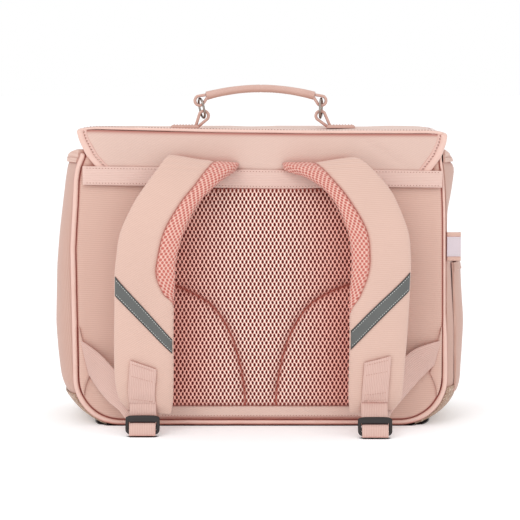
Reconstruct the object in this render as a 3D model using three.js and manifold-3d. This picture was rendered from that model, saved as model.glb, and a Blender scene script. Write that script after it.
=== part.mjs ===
// A school satchel worn as a backpack: a boxy bag with piped panels, a bellows side wall, a bound
// flap over the top and front, a rolled handle on steel links and two padded shoulder straps.
// Millimetres, +Z up. The strap side faces -Y, the flap's clasps face +Y, the bag stands on Z = 0
// and the origin is the middle of its base.
import * as THREE from 'three';
import { mergeVertices } from 'three/addons/utils/BufferGeometryUtils.js';
import Module from 'manifold-3d';

const wasm = await Module();
wasm.setup();

// Body
const bodyWidth = 382;
const bodyDepth = 150;
const cornerRadius = 49;
const pipingRadius = 3;
const panelHeight = 272;
const panelThickness = 3;
const gussetHeight = 278;
const gussetWall = 2;
const gussetBulge = 21;
const gussetFold = 13;
const hemHeight = 11;
const hemThickness = 1.4;
const clearance = 0.3;

// Flap
const flapTopHeight = 299.5;
const flapDome = 2.6;
const flapThickness = 2;
const flapBackBottom = 252;
const flapFrontBottom = 108;
const flapBackBend = 5;
const flapFrontBend = 14;
const flapHalfWidth = 188.5;
const flapCornerRadius = 45;
const flapSideDroop = 5;
const bindingWidth = 9.2;
const bindingThickness = 2.6;
const topCordRadius = 2.2;

// Band across the back
const bandWidth = 366;
const bandHeight = 20.5;
const bandThickness = 1.6;
const bandTop = 264.5;
const bandTilt = 0.45;

// Back pad
const padHalfWidth = 104;
const padTop = 240;
const padBottom = 21.2;
const padThickness = 11;
const padRim = 2.5;
const channelDepth = 7;
const channelWidth = 6.5;
const padHemBottom = 8.5;
const padHemThickness = 2.2;

// Shoulder straps
const strapTop = 277;
const strapDrop = 253;
const strapSpread = 148;
const strapWidth = 59;
const strapThickness = 15;
const strapStandOff = 46;
const strapEdge = 3;
const tapeWidth = 20;
const tapeThickness = 0.9;
const tapeTop = 157;
const tapeSlant = 62;

// Webbing, buckles and anchor tabs
const webbingWidth = 26;
const webbingThickness = 1.4;
const strapWebbingTop = 70;
const sewnClearance = 0.8;
const buckleWidth = 34;
const buckleThickness = 4;
const buckleTilt = 14;
const buckleBase = 1.3;
const buckleBars = { lowerBar: 3, lowerSlot: 3, middleBar: 3, upperSlot: 6.6, upperBar: 4 };
const anchorTop = 101;
const anchorBottom = 31;
const anchorReach = 11.5;
const anchorThickness = 3;

// Handle
const gripLength = 112;
const gripStand = 36.3;
const gripRise = 7.6;
const gripRadius = 4;
const gripEndRadius = 4.5;
const linkDrop = 2.4;
const linkWidth = 16;
const linkWire = 1.2;
const linkStand = 11.6;
const linkTurn = { left: 21, right: -11 };
const loopWidth = 8;
const loopRadius = 6;
const loopHole = 3.3;
const patchLength = 28;
const patchWidth = 17;
const patchThickness = 1.8;

// Side pocket and its tab
const pocketTop = 165;
const pocketBottom = 32;
const pocketReach = 14.5;
const pocketWall = 2;
const pocketMargin = 8;
const tabWidth = 14.5;
const tabHeight = 29;
const tabThickness = 2.6;
const tabTop = 197.5;
const labelHeight = 20;
const labelThickness = 0.7;

// Corner patches and clasps
const cornerPatchTop = 31;
const cornerPatchEnd = 72;
const cornerPatchThickness = 1.2;
const claspOffset = 88;
const claspWidth = 34;
const claspHeight = 38;
const claspThickness = 5;

// How full the side walls stand. height: share of gussetHeight; left, right: share of gussetBulge;
// fold: share of gussetFold, the inward pleat along the middle.
const gussetRows = [
  { height: 1.0, left: 0.62, right: 0.43, fold: 1.0 },
  { height: 0.955, left: 0.68, right: 0.62, fold: 0.9 },
  { height: 0.86, left: 0.84, right: 0.53, fold: 0.62 },
  { height: 0.74, left: 0.94, right: 0.26, fold: 0.3 },
  { height: 0.58, left: 1.0, right: 0.28, fold: 0.0 },
  { height: 0.36, left: 1.0, right: 0.36, fold: 0.0 },
  { height: 0.19, left: 1.0, right: 0.6, fold: 0.0 },
  { height: 0.09, left: 0.95, right: 0.85, fold: 0.0 },
  { height: 0.0, left: 0.85, right: 0.8, fold: 0.0 },
];

// The flap's bound side edge on the back. height: share of the way from flapBackBottom to the top
// bend; width: share of flapHalfWidth.
const flapBackRows = [
  { height: 0.0, width: 0.878 },
  { height: 0.25, width: 0.913 },
  { height: 0.55, width: 0.962 },
  { height: 0.85, width: 0.994 },
  { height: 1.0, width: 1.0 },
];

// Sections down each strap. down: share of strapDrop; edge: outer edge, share of strapSpread;
// wide: share of strapWidth; fabric: share of the width under fabric, the rest is mesh;
// out: share of strapStandOff; dip: how much lower the inner edge lies, share of strapWidth;
// full: share of strapThickness.
const strapRows = {
  left: [
    { down: 0.045, edge: 0.61, wide: 1.16, fabric: 0.66, out: 0.07, dip: 0.0, full: 0.24 },
    { down: 0.01, edge: 0.64, wide: 1.19, fabric: 0.66, out: 0.33, dip: 0.16, full: 0.62 },
    { down: 0.055, edge: 0.717, wide: 1.2, fabric: 0.69, out: 0.58, dip: 0.12, full: 0.9 },
    { down: 0.118, edge: 0.789, wide: 1.17, fabric: 0.73, out: 0.75, dip: 0.05, full: 1.0 },
    { down: 0.19, edge: 0.857, wide: 1.11, fabric: 0.73, out: 0.85, dip: 0.0, full: 1.0 },
    { down: 0.3, edge: 0.94, wide: 1.08, fabric: 0.69, out: 0.93, dip: -0.03, full: 1.0 },
    { down: 0.41, edge: 0.968, wide: 1.02, fabric: 0.69, out: 0.98, dip: -0.04, full: 1.0 },
    { down: 0.48, edge: 0.978, wide: 1.02, fabric: 0.7, out: 1.0, dip: -0.02, full: 1.0 },
    { down: 0.59, edge: 0.98, wide: 1.0, fabric: 0.9, out: 1.0, dip: -0.02, full: 1.0 },
    { down: 0.72, edge: 0.984, wide: 1.0, fabric: 0.95, out: 1.0, dip: 0.0, full: 0.97 },
    { down: 0.84, edge: 0.984, wide: 1.0, fabric: 0.95, out: 0.98, dip: 0.0, full: 0.94 },
    { down: 0.91, edge: 0.975, wide: 0.97, fabric: 0.95, out: 0.93, dip: 0.04, full: 0.88 },
    { down: 0.96, edge: 0.95, wide: 0.9, fabric: 0.95, out: 0.88, dip: 0.08, full: 0.76 },
    { down: 1.0, edge: 0.9, wide: 0.74, fabric: 0.95, out: 0.85, dip: 0.07, full: 0.5 },
  ],
  right: [
    { down: 0.045, edge: 0.62, wide: 1.16, fabric: 0.58, out: 0.07, dip: 0.0, full: 0.24 },
    { down: 0.02, edge: 0.656, wide: 1.2, fabric: 0.58, out: 0.33, dip: 0.13, full: 0.62 },
    { down: 0.055, edge: 0.751, wide: 1.18, fabric: 0.67, out: 0.58, dip: 0.09, full: 0.9 },
    { down: 0.122, edge: 0.86, wide: 1.13, fabric: 0.75, out: 0.75, dip: 0.0, full: 1.0 },
    { down: 0.18, edge: 0.915, wide: 1.04, fabric: 0.75, out: 0.85, dip: 0.02, full: 1.0 },
    { down: 0.3, edge: 0.987, wide: 1.03, fabric: 0.69, out: 0.93, dip: -0.06, full: 1.0 },
    { down: 0.395, edge: 1.003, wide: 1.0, fabric: 0.69, out: 0.98, dip: -0.05, full: 1.0 },
    { down: 0.457, edge: 1.003, wide: 1.0, fabric: 0.72, out: 1.0, dip: 0.05, full: 1.0 },
    { down: 0.57, edge: 0.995, wide: 1.01, fabric: 0.85, out: 1.0, dip: 0.0, full: 1.0 },
    { down: 0.7, edge: 0.983, wide: 0.97, fabric: 0.95, out: 1.0, dip: 0.0, full: 0.97 },
    { down: 0.82, edge: 0.968, wide: 0.94, fabric: 0.95, out: 0.98, dip: 0.02, full: 0.94 },
    { down: 0.91, edge: 0.958, wide: 0.92, fabric: 0.95, out: 0.93, dip: 0.04, full: 0.88 },
    { down: 0.96, edge: 0.945, wide: 0.88, fabric: 0.95, out: 0.88, dip: 0.06, full: 0.76 },
    { down: 1.0, edge: 0.9, wide: 0.74, fabric: 0.95, out: 0.85, dip: 0.05, full: 0.5 },
  ],
};

// The sewn channel of the back pad. height: share of the pad's height from its bottom;
// side: share of padHalfWidth.
const channelRows = [
  { height: 0.57, side: 0.93 },
  { height: 0.54, side: 0.75 },
  { height: 0.505, side: 0.6 },
  { height: 0.46, side: 0.47 },
  { height: 0.37, side: 0.33 },
  { height: 0.24, side: 0.225 },
  { height: 0.1, side: 0.165 },
  { height: -0.02, side: 0.145 },
];

// The loose stretch of the lower webbing, from the anchor tab to the buckle. side: share of the
// way from the tab to the buckle; out: share of the way forward; high: share of anchorTop;
// lean: how far the width leans from upright, share of a right angle; wide: share of webbingWidth.
const adjusterRows = [
  { side: 0.0, out: 0.0, high: 0.74, lean: 0.14, wide: 1.5 },
  { side: 0.2, out: 0.1, high: 0.64, lean: 0.3, wide: 1.25 },
  { side: 0.42, out: 0.3, high: 0.47, lean: 0.5, wide: 1.05 },
  { side: 0.66, out: 0.52, high: 0.27, lean: 0.78, wide: 1.0 },
  { side: 0.84, out: 0.72, high: 0.13, lean: 0.95, wide: 1.0 },
];

const colours = {
  fabric: { color: 0xe7c4b6, roughness: 0.9, metalness: 0 },
  mesh: { color: 0xd9917f, roughness: 0.95, metalness: 0 },
  webbing: { color: 0xebc8bc, roughness: 0.85, metalness: 0 },
  vinyl: { color: 0xf3cdbe, roughness: 0.35, metalness: 0 },
  leather: { color: 0xe9bfae, roughness: 0.5, metalness: 0 },
  patch: { color: 0xaa8e7a, roughness: 0.55, metalness: 0 },
  tape: { color: 0x707472, roughness: 0.4, metalness: 0 },
  plastic: { color: 0x2d2321, roughness: 0.45, metalness: 0 },
  steel: { color: 0xc9c6c2, roughness: 0.3, metalness: 1 },
  label: { color: 0xe8dce2, roughness: 0.8, metalness: 0 },
};

const halfWidth = bodyWidth / 2;
const halfDepth = bodyDepth / 2;
const pipingY = halfDepth - pipingRadius;
const panelFace = pipingY + panelThickness / 2;
const gussetEdge = pipingY - pipingRadius - clearance;
const flapSheetY = panelFace + clearance + bindingThickness / 2;
const flapFrontY = halfDepth + clearance + bindingThickness / 2;
const bandFace = flapSheetY + bindingThickness / 2 + clearance;
const gripHeight = flapTopHeight + gripStand;
const linkBottom = flapTopHeight + linkStand;
const linkHeight = gripHeight - linkDrop - linkBottom;
const anchorEdge = halfWidth - 2 * pipingRadius - clearance;
const anchorApex = anchorBottom + (anchorTop - anchorBottom) / 3;
const signOf = { left: -1, right: 1 };

const group = new THREE.Group();
group.name = 'school_ransel';

function vec(x, y, z) {
  return new THREE.Vector3(x, y, z);
}

function add(name, colour, geometry) {
  const mesh = new THREE.Mesh(geometry, new THREE.MeshStandardMaterial(colours[colour]));
  mesh.name = name;
  group.add(mesh);
}

// Linear reading of a table's column at a value of its key column.
function readRow(rows, key, at, column) {
  const sorted = [...rows].sort((a, b) => a[key] - b[key]);
  const last = sorted.length - 1;
  if (at <= sorted[0][key]) return sorted[0][column];
  if (at >= sorted[last][key]) return sorted[last][column];
  const next = sorted.findIndex((row) => row[key] > at);
  const share = (at - sorted[next - 1][key]) / (sorted[next][key] - sorted[next - 1][key]);
  return sorted[next - 1][column] * (1 - share) + sorted[next][column] * share;
}

// A closed body from points and faces, turned so that its faces point out.
function closedBody(points, faces) {
  let volume = 0;
  for (const [a, b, c] of faces) volume += points[a].dot(vec(0, 0, 0).crossVectors(points[b], points[c]));
  const turned = volume < 0 ? faces.map(([a, b, c]) => [a, c, b]) : faces;
  const geometry = new THREE.BufferGeometry();
  const positions = points.flatMap((point) => [point.x, point.y, point.z]);
  geometry.setAttribute('position', new THREE.Float32BufferAttribute(positions, 3));
  geometry.setIndex(turned.flat());
  geometry.computeVertexNormals();
  return geometry;
}

// A wall between two grids of points: both skins and the four edges.
function wall(outer, inner) {
  const rows = outer.length;
  const columns = outer[0].length;
  const points = [...outer.flat(), ...inner.flat()];
  const far = rows * columns;
  const faces = [];
  const quad = (a, b, c, d) => faces.push([a, b, c], [a, c, d]);
  for (let r = 0; r < rows - 1; r++) {
    for (let c = 0; c < columns - 1; c++) {
      const at = r * columns + c;
      quad(at, at + 1, at + columns + 1, at + columns);
      quad(far + at, far + at + columns, far + at + columns + 1, far + at + 1);
    }
  }
  for (let c = 0; c < columns - 1; c++) {
    const end = (rows - 1) * columns + c;
    quad(c, far + c, far + c + 1, c + 1);
    quad(end, end + 1, far + end + 1, far + end);
  }
  for (let r = 0; r < rows - 1; r++) {
    const at = r * columns;
    const end = at + columns - 1;
    quad(at, at + columns, far + at + columns, far + at);
    quad(end, far + end, far + end + columns, end + columns);
  }
  return closedBody(points, faces);
}

// A solid through rings of points, closed at both ends.
function loft(rings) {
  const count = rings[0].length;
  const points = rings.flat();
  const faces = [];
  for (let r = 0; r < rings.length - 1; r++) {
    for (let i = 0; i < count; i++) {
      const a = r * count + i;
      const b = r * count + ((i + 1) % count);
      faces.push([a, b, b + count], [a, b + count, a + count]);
    }
  }
  const endRing = (rings.length - 1) * count;
  for (const [start, flip] of [[0, true], [endRing, false]]) {
    const flat = flatten(rings[start / count]);
    for (const [a, b, c] of THREE.ShapeUtils.triangulateShape(flat, [])) {
      faces.push(flip ? [start + a, start + c, start + b] : [start + a, start + b, start + c]);
    }
  }
  return closedBody(points, faces);
}

// A ring's points in the plane that it lies in, in the ring's own order.
function flatten(ring) {
  const middle = ring.reduce((sum, point) => sum.add(point), vec(0, 0, 0)).divideScalar(ring.length);
  const normal = vec(0, 0, 0);
  ring.forEach((point, i) => {
    const next = ring[(i + 1) % ring.length];
    normal.add(point.clone().sub(middle).cross(next.clone().sub(middle)));
  });
  normal.normalize();
  const across = ring[1].clone().sub(ring[0]);
  across.addScaledVector(normal, -across.dot(normal)).normalize();
  const up = normal.clone().cross(across);
  return ring.map((point) => new THREE.Vector2(point.dot(across), point.dot(up)));
}

// A flat strip of webbing along points, each with its width's direction and size.
function ribbon(stations, thickness) {
  const rings = stations.map(({ at, across, wide }, i) => {
    const before = stations[Math.max(i - 1, 0)].at;
    const after = stations[Math.min(i + 1, stations.length - 1)].at;
    const along = after.clone().sub(before).normalize();
    const side = across.clone().normalize();
    const up = along.cross(side).normalize().multiplyScalar(thickness / 2);
    const half = side.multiplyScalar(wide / 2);
    return [
      at.clone().add(half).add(up), at.clone().sub(half).add(up),
      at.clone().sub(half).sub(up), at.clone().add(half).sub(up),
    ];
  });
  return loft(rings);
}

// A round bar along points, each with its own radius.
function roundBar(stations, sides, across) {
  const rings = stations.map(({ at, radius }, i) => {
    const before = stations[Math.max(i - 1, 0)].at;
    const after = stations[Math.min(i + 1, stations.length - 1)].at;
    const along = after.clone().sub(before).normalize();
    const first = across.clone().addScaledVector(along, -across.dot(along)).normalize();
    const second = along.cross(first);
    return Array.from({ length: sides }, (_, k) => {
      const turn = (2 * Math.PI * k) / sides;
      return at.clone().addScaledVector(first, radius * Math.cos(turn))
        .addScaledVector(second, radius * Math.sin(turn));
    });
  });
  return loft(rings);
}

// The U of the body seen from the back, inset from its outline: down the left side, round both
// lower corners and up the right side. out is the outward direction.
function bodyOutline(inset, top, cornerSteps, sideHeights) {
  const side = halfWidth - inset;
  const radius = cornerRadius - inset;
  const centre = halfWidth - cornerRadius;
  const half = [];
  for (const z of sideHeights) {
    if (z > cornerRadius && z <= top) half.push({ x: side, z, out: [1, 0] });
  }
  for (let i = 0; i <= cornerSteps; i++) {
    const turn = (Math.PI / 2) * (i / cornerSteps);
    half.push({
      x: centre + radius * Math.cos(turn), z: cornerRadius - radius * Math.sin(turn),
      out: [Math.cos(turn), -Math.sin(turn)],
    });
  }
  half.push({ x: centre / 2, z: inset, out: [0, -1] });
  const left = half.map(({ x, z, out }) => ({ x: -x, z, out: [-out[0], out[1]] }));
  const middle = { x: 0, z: inset, out: [0, -1] };
  return [...left, middle, ...[...half].reverse()];
}

// How far a point of the body's outline is pushed out by the full side wall, at a share of the
// depth: a flat-topped swell with a pleat in its middle.
function swell(x, z, share) {
  const side = x < 0 ? 'left' : 'right';
  const high = z / gussetHeight;
  const full = gussetBulge * readRow(gussetRows, 'height', high, side);
  const pleat = gussetFold * readRow(gussetRows, 'height', high, 'fold');
  const centre = halfWidth - cornerRadius;
  const reach = Math.min(1, Math.abs(x) / centre);
  const fromMiddle = Math.abs(2 * share - 1);
  const amount = full * (1 - fromMiddle ** 4) - pleat * Math.exp(-((fromMiddle / 0.28) ** 2));
  return Math.sign(x) * reach * amount;
}

const depthShares = [0, 0.05, 0.13, 0.26, 0.38, 0.5, 0.62, 0.74, 0.87, 0.95, 1];
const sideHeights = gussetRows.map((row) => row.height * gussetHeight);

function gussetSkin(outline, shares, offset) {
  return outline.map(({ x, z, out }) => shares.map((share) => vec(
    x + out[0] * offset + swell(x, z, share), gussetEdge * (2 * share - 1), z + out[1] * offset,
  )));
}

function gusset() {
  const outer = gussetSkin(bodyOutline(0, gussetHeight, 6, sideHeights), depthShares, 0);
  const inner = gussetSkin(bodyOutline(0, gussetHeight, 6, sideHeights), depthShares, -gussetWall);
  return wall(outer, inner);
}

function gussetHem(side) {
  const hemRows = [gussetHeight, gussetHeight - hemHeight];
  if (side === 'right') hemRows.reverse();
  const outline = hemRows.map((z) => ({ x: signOf[side] * halfWidth, z, out: [signOf[side], 0] }));
  const gap = 2 * clearance;
  return wall(gussetSkin(outline, depthShares, gap + hemThickness), gussetSkin(outline, depthShares, gap));
}

// A panel closes the bag's back or front inside its piping.
function panel(facing) {
  const outline = bodyOutline(2 * pipingRadius + clearance, panelHeight, 6, [panelHeight]);
  const shape = new THREE.Shape(outline.map(({ x, z }) => new THREE.Vector2(x, z)));
  const geometry = new THREE.ExtrudeGeometry(shape, { depth: panelThickness, bevelEnabled: false });
  geometry.rotateX(Math.PI / 2);
  geometry.translate(0, facing * pipingY + panelThickness / 2, 0);
  return geometry;
}

function piping(facing) {
  const outline = bodyOutline(pipingRadius, panelHeight, 6, [panelHeight]);
  const stations = outline.map(({ x, z }) => ({ at: vec(x, facing * pipingY, z), radius: pipingRadius }));
  return roundBar(stations, 8, vec(0, 1, 0));
}

// The flap's middle surface in section, from the back's lower edge over the top and down the
// front: each station has its length along the flap, its place and its outward direction.
function flapSection() {
  const stations = [];
  let along = 0;
  const push = (y, z, ny, nz) => {
    const last = stations[stations.length - 1];
    if (last) along += Math.hypot(y - last.y, z - last.z);
    stations.push({ along, y, z, ny, nz });
  };
  const bendZ = flapTopHeight - flapBackBend;
  for (const { height } of flapBackRows) {
    push(-flapSheetY, flapBackBottom + (bendZ - flapBackBottom) * height, -1, 0);
  }
  for (let i = 1; i <= 3; i++) {
    const turn = (Math.PI / 2) * (i / 3);
    push(-flapSheetY + flapBackBend * (1 - Math.cos(turn)), bendZ + flapBackBend * Math.sin(turn),
      -Math.cos(turn), Math.sin(turn));
  }
  const start = -flapSheetY + flapBackBend;
  const end = flapFrontY - flapFrontBend;
  for (let i = 1; i <= 6; i++) {
    const share = i / 6;
    push(start + (end - start) * share, flapTopHeight + flapDome * (1 - (2 * share - 1) ** 2), 0, 1);
  }
  for (let i = 1; i <= 4; i++) {
    const turn = (Math.PI / 2) * (i / 4);
    push(end + flapFrontBend * Math.sin(turn), flapTopHeight - flapFrontBend * (1 - Math.cos(turn)),
      Math.sin(turn), Math.cos(turn));
  }
  const fall = flapTopHeight - flapFrontBend - flapFrontBottom;
  const straight = fall - flapCornerRadius;
  for (const down of [straight / 2, straight]) {
    push(flapFrontY, flapTopHeight - flapFrontBend - down, 1, 0);
  }
  for (let i = 1; i <= 6; i++) {
    const turn = (Math.PI / 2) * (i / 6);
    push(flapFrontY, flapFrontBottom + flapCornerRadius * (1 - Math.sin(turn)), 1, 0);
  }
  return stations;
}

const flapStations = flapSection();
const backStations = flapBackRows.length;
const cornerStations = 6;

// Places a point of the flap: a station read at a length along it, at x, offset along its normal.
function onFlap(x, along, offset) {
  const place = (column) => readRow(flapStations, 'along', along, column);
  const past = Math.max(0, (Math.abs(x) / flapHalfWidth - 0.9) / 0.1);
  const droop = flapSideDroop * past ** 2 * Math.max(0, place('nz'));
  return vec(x, place('y') + place('ny') * offset, place('z') + place('nz') * offset - droop);
}

// Half the flap's width at each station, drawn in from its outline by an inset; in the rounded
// front corners the station's own place is drawn in too.
function flapEdge(inset) {
  const cornerStart = flapStations.length - cornerStations - 1;
  return flapStations.map(({ along }, i) => {
    if (i < backStations) return { x: flapHalfWidth * flapBackRows[i].width - inset, along };
    if (i <= cornerStart) return { x: flapHalfWidth - inset, along };
    const turn = (Math.PI / 2) * ((i - cornerStart) / cornerStations);
    const radius = flapCornerRadius - inset;
    return {
      x: flapHalfWidth - flapCornerRadius + radius * Math.cos(turn),
      along: flapStations[cornerStart].along + radius * Math.sin(turn),
    };
  });
}

const acrossShares = [-1, -0.95, -0.6, -0.2, 0.2, 0.6, 0.95, 1];

// The flap's sheet over the top and the front, from just behind the cord at its back edge.
function flap() {
  const edge = flapEdge(bindingWidth + clearance).slice(backStations + 1);
  const skin = (offset) => edge.map(
    ({ x, along }) => acrossShares.map((share) => onFlap(x * share, along, offset)),
  );
  return wall(skin(flapThickness / 2), skin(-flapThickness / 2));
}

function flapBack() {
  const edge = flapEdge(bindingWidth + clearance).slice(0, backStations);
  const top = flapTopHeight - topCordRadius * 2 - clearance * 2;
  const half = edge.map(({ x }, i) => new THREE.Vector2(x, Math.min(flapStations[i].z, top)));
  const outline = [...half, ...half.map(({ x, y }) => new THREE.Vector2(-x, y)).reverse()];
  const depth = flapThickness;
  const geometry = new THREE.ExtrudeGeometry(new THREE.Shape(outline), { depth, bevelEnabled: false });
  geometry.rotateX(Math.PI / 2);
  geometry.translate(0, -flapSheetY + flapThickness / 2, 0);
  return geometry;
}

function flapBinding() {
  const outline = flapEdge(0);
  const inline = flapEdge(bindingWidth);
  const right = outline.map((edge, i) => [edge, inline[i]]);
  const left = right.map((pair) => pair.map(({ x, along }) => ({ x: -x, along }))).reverse();
  const skin = (offset) => [...right, ...left].map(
    (pair) => pair.map(({ x, along }) => onFlap(x, along, offset)),
  );
  return wall(skin(bindingThickness / 2), skin(-bindingThickness / 2));
}

function flapTopCord() {
  const reach = flapHalfWidth - bindingWidth - clearance;
  const y = -flapSheetY - topCordRadius / 5;
  const z = flapTopHeight - topCordRadius * 0.7;
  const stations = [-1, 0, 1].map((share) => ({ at: vec(reach * share, y, z), radius: topCordRadius }));
  return roundBar(stations, 8, vec(0, 1, 0));
}

function backBand() {
  const geometry = new THREE.BoxGeometry(bandWidth, bandThickness, bandHeight);
  geometry.rotateY(THREE.MathUtils.degToRad(bandTilt));
  geometry.translate(0, -bandFace - bandThickness / 2, bandTop - bandHeight / 2);
  return geometry;
}

// Distance in millimetres from a point of the pad to the nearer sewn channel.
function channelDistance(x, z) {
  const line = channelRows.map(({ height, side }) => new THREE.Vector3(
    padHalfWidth * side, 0, padBottom + (padTop - padBottom) * height,
  ));
  const point = vec(Math.abs(x), 0, z);
  const near = vec(0, 0, 0);
  return Math.min(...line.slice(1).map((end, i) => {
    new THREE.Line3(line[i], end).closestPointToPoint(point, true, near);
    return near.distanceTo(point);
  }));
}

// The air-mesh pad: full in its fields, drawn in along its rim and its two sewn channels.
function backPad() {
  const columns = 19;
  const rows = 17;
  const back = -panelFace - clearance;
  const front = [];
  const rear = [];
  for (let r = 0; r < rows; r++) {
    const v = r / (rows - 1);
    const z = padBottom + (padTop - padBottom) * v;
    const line = Array.from({ length: columns }, (_, c) => {
      const u = (2 * c) / (columns - 1) - 1;
      const rim = Math.min(1, (1 - Math.abs(u)) * 8, v * 12, (1 - v) * 12);
      const sewn = channelDepth * Math.exp(-((channelDistance(u * padHalfWidth, z) / channelWidth) ** 2));
      const full = (padThickness - padRim) * Math.sqrt(rim) - Math.min(sewn, (padThickness - padRim) * rim);
      return { x: u * padHalfWidth, z, y: back - padRim - Math.max(0, full) };
    });
    front.push(line.map(({ x, y }) => vec(x, y, z)));
    rear.push(line.map(({ x }) => vec(x, back, z)));
  }
  return wall(front, rear);
}

function padHem() {
  const height = padBottom - clearance - padHemBottom;
  const geometry = new THREE.BoxGeometry(2 * padHalfWidth, padHemThickness, height);
  geometry.translate(0, -panelFace - clearance - padHemThickness / 2, padHemBottom + height / 2);
  return geometry;
}

// A strap's section at a share of its rows: its two edges, its outward direction and its sizes.
function strapSection(side, at) {
  const rows = strapRows[side];
  const read = (column) => {
    const place = at * (rows.length - 1);
    const i = Math.min(Math.floor(place), rows.length - 2);
    const before = rows[Math.max(i - 1, 0)][column];
    const after = rows[Math.min(i + 2, rows.length - 1)][column];
    const [a, b] = [rows[i][column], rows[i + 1][column]];
    const t = place - i;
    return 0.5 * (2 * a + (b - before) * t + (2 * before - 5 * a + 4 * b - after) * t ** 2
      + (3 * a - before - 3 * b + after) * t ** 3);
  };
  const wide = strapWidth * read('wide');
  const outerX = strapSpread * read('edge');
  const z = strapTop - strapDrop * read('down');
  const y = -halfDepth - strapStandOff * read('out');
  return {
    outer: vec(signOf[side] * outerX, y, z),
    inner: vec(signOf[side] * (outerX - wide), y, z - strapWidth * read('dip')),
    half: (strapThickness * read('full')) / 2,
    seam: Math.min(read('fabric'), 0.95),
  };
}

const strapSteps = 20;

// The shares of the rows that a strap is lofted through, closer together round its fold.
const strapShares = Array.from({ length: strapSteps + 1 }, (_, i) => (i / strapSteps) ** 1.5);

function strapFrame(side, at) {
  const section = strapSection(side, at);
  const step = 0.5 / strapSteps;
  const middle = (place) => {
    const { outer, inner } = strapSection(side, THREE.MathUtils.clamp(place, 0, 1));
    return outer.clone().add(inner).multiplyScalar(0.5);
  };
  const along = middle(at + step).sub(middle(at - step)).normalize();
  const across = section.inner.clone().sub(section.outer).normalize();
  const out = across.clone().cross(along).multiplyScalar(signOf[side]).normalize();
  return { ...section, out };
}

// A point of the strap at a share of its width, a share of its half thickness and an offset.
function onStrap(frame, across, thick, offset) {
  const round = Math.max(0, 1 - Math.abs(2 * across - 1) ** 3) ** (1 / 2.4);
  const half = Math.max(frame.half * round, Math.min(strapEdge / 2, frame.half));
  return frame.outer.clone().lerp(frame.inner, across).addScaledVector(frame.out, half * thick + offset);
}

function strapFabric(side) {
  const rings = strapShares.map((share) => {
    const frame = strapFrame(side, share);
    const low = clearance;
    const upper = [1, 0.93, 0.62, 0.3, 0.08, 0].map((part) => onStrap(frame, frame.seam * part, 1, 0));
    const under = [0, 0.5, 1].map((part) => onStrap(frame, frame.seam * part, 0, low));
    return [...under, ...upper];
  });
  return loft(rings);
}

function strapLining(side) {
  const rings = strapShares.map((share) => {
    const frame = strapFrame(side, share);
    const low = -clearance;
    const start = frame.seam + 0.012;
    const under = [0, 0.08, 0.35, 0.65, 0.92, 1].map((part) => onStrap(frame, part, -1, 0));
    const shown = [1, (1 + start) / 2, start].map((part) => onStrap(frame, part, 1, 0));
    const covered = [1, 0.5, 0].map((part) => onStrap(frame, start * part, 0, low));
    return [...under, ...shown, ...covered];
  });
  return loft(rings);
}

// The share of a strap's rows at which its outer edge stands at a height, past the fold.
function strapPlace(side, height) {
  let low = 0.2;
  let high = 1;
  for (let i = 0; i < 24; i++) {
    const middle = (low + high) / 2;
    if (strapSection(side, middle).outer.z > height) low = middle;
    else high = middle;
  }
  return low;
}

// The reflective tape slants across the strap from its outer to its inner edge.
function reflectiveTape(side) {
  const across = [0.03, 0.1, 0.3, 0.5, 0.7, 0.9, 0.97];
  const skin = (offset) => [0, 1].map((edge) => across.map((share) => {
    const height = tapeTop - tapeSlant * share - tapeWidth * edge;
    return onStrap(strapFrame(side, strapPlace(side, height)), share, 1, offset);
  }));
  return wall(skin(sewnClearance + tapeThickness), skin(sewnClearance));
}

// The buckle's upper bar hangs just ahead of the webbing sewn down the strap's face.
function strapWebbingStart(side) {
  const stations = [];
  for (const share of [1, 0.8, 0.6, 0.47]) {
    const frame = strapFrame(side, strapPlace(side, strapWebbingTop * share));
    stations.push(onStrap(frame, 0.49, 1, sewnClearance + webbingThickness / 2));
  }
  return stations;
}

const barHeights = Object.values(buckleBars);
const buckleHeight = barHeights.reduce((sum, height) => sum + height, 0);
const upperBarMiddle = buckleHeight - buckleBars.upperBar / 2;
const middleBarMiddle = buckleBars.lowerBar + buckleBars.lowerSlot + buckleBars.middleBar / 2;

function wrapRadius(barHeight) {
  return Math.hypot(barHeight, buckleThickness) / 2 + clearance + webbingThickness / 2;
}

// The buckle's frame of directions: origin at the middle of its lower edge, up its face and out.
function bucklePlace(side) {
  const tilt = THREE.MathUtils.degToRad(buckleTilt);
  const up = vec(0, Math.sin(tilt), Math.cos(tilt));
  const out = vec(0, -Math.cos(tilt), Math.sin(tilt));
  const sewn = strapWebbingStart(side).pop();
  const origin = vec(sewn.x, sewn.y - wrapRadius(buckleBars.upperBar) - 2 * webbingThickness, buckleBase);
  origin.y -= upperBarMiddle * Math.sin(tilt);
  const at = (x, high, front) => origin.clone().add(vec(x, 0, 0)).addScaledVector(up, high)
    .addScaledVector(out, front);
  return { at, up, out };
}

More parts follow.
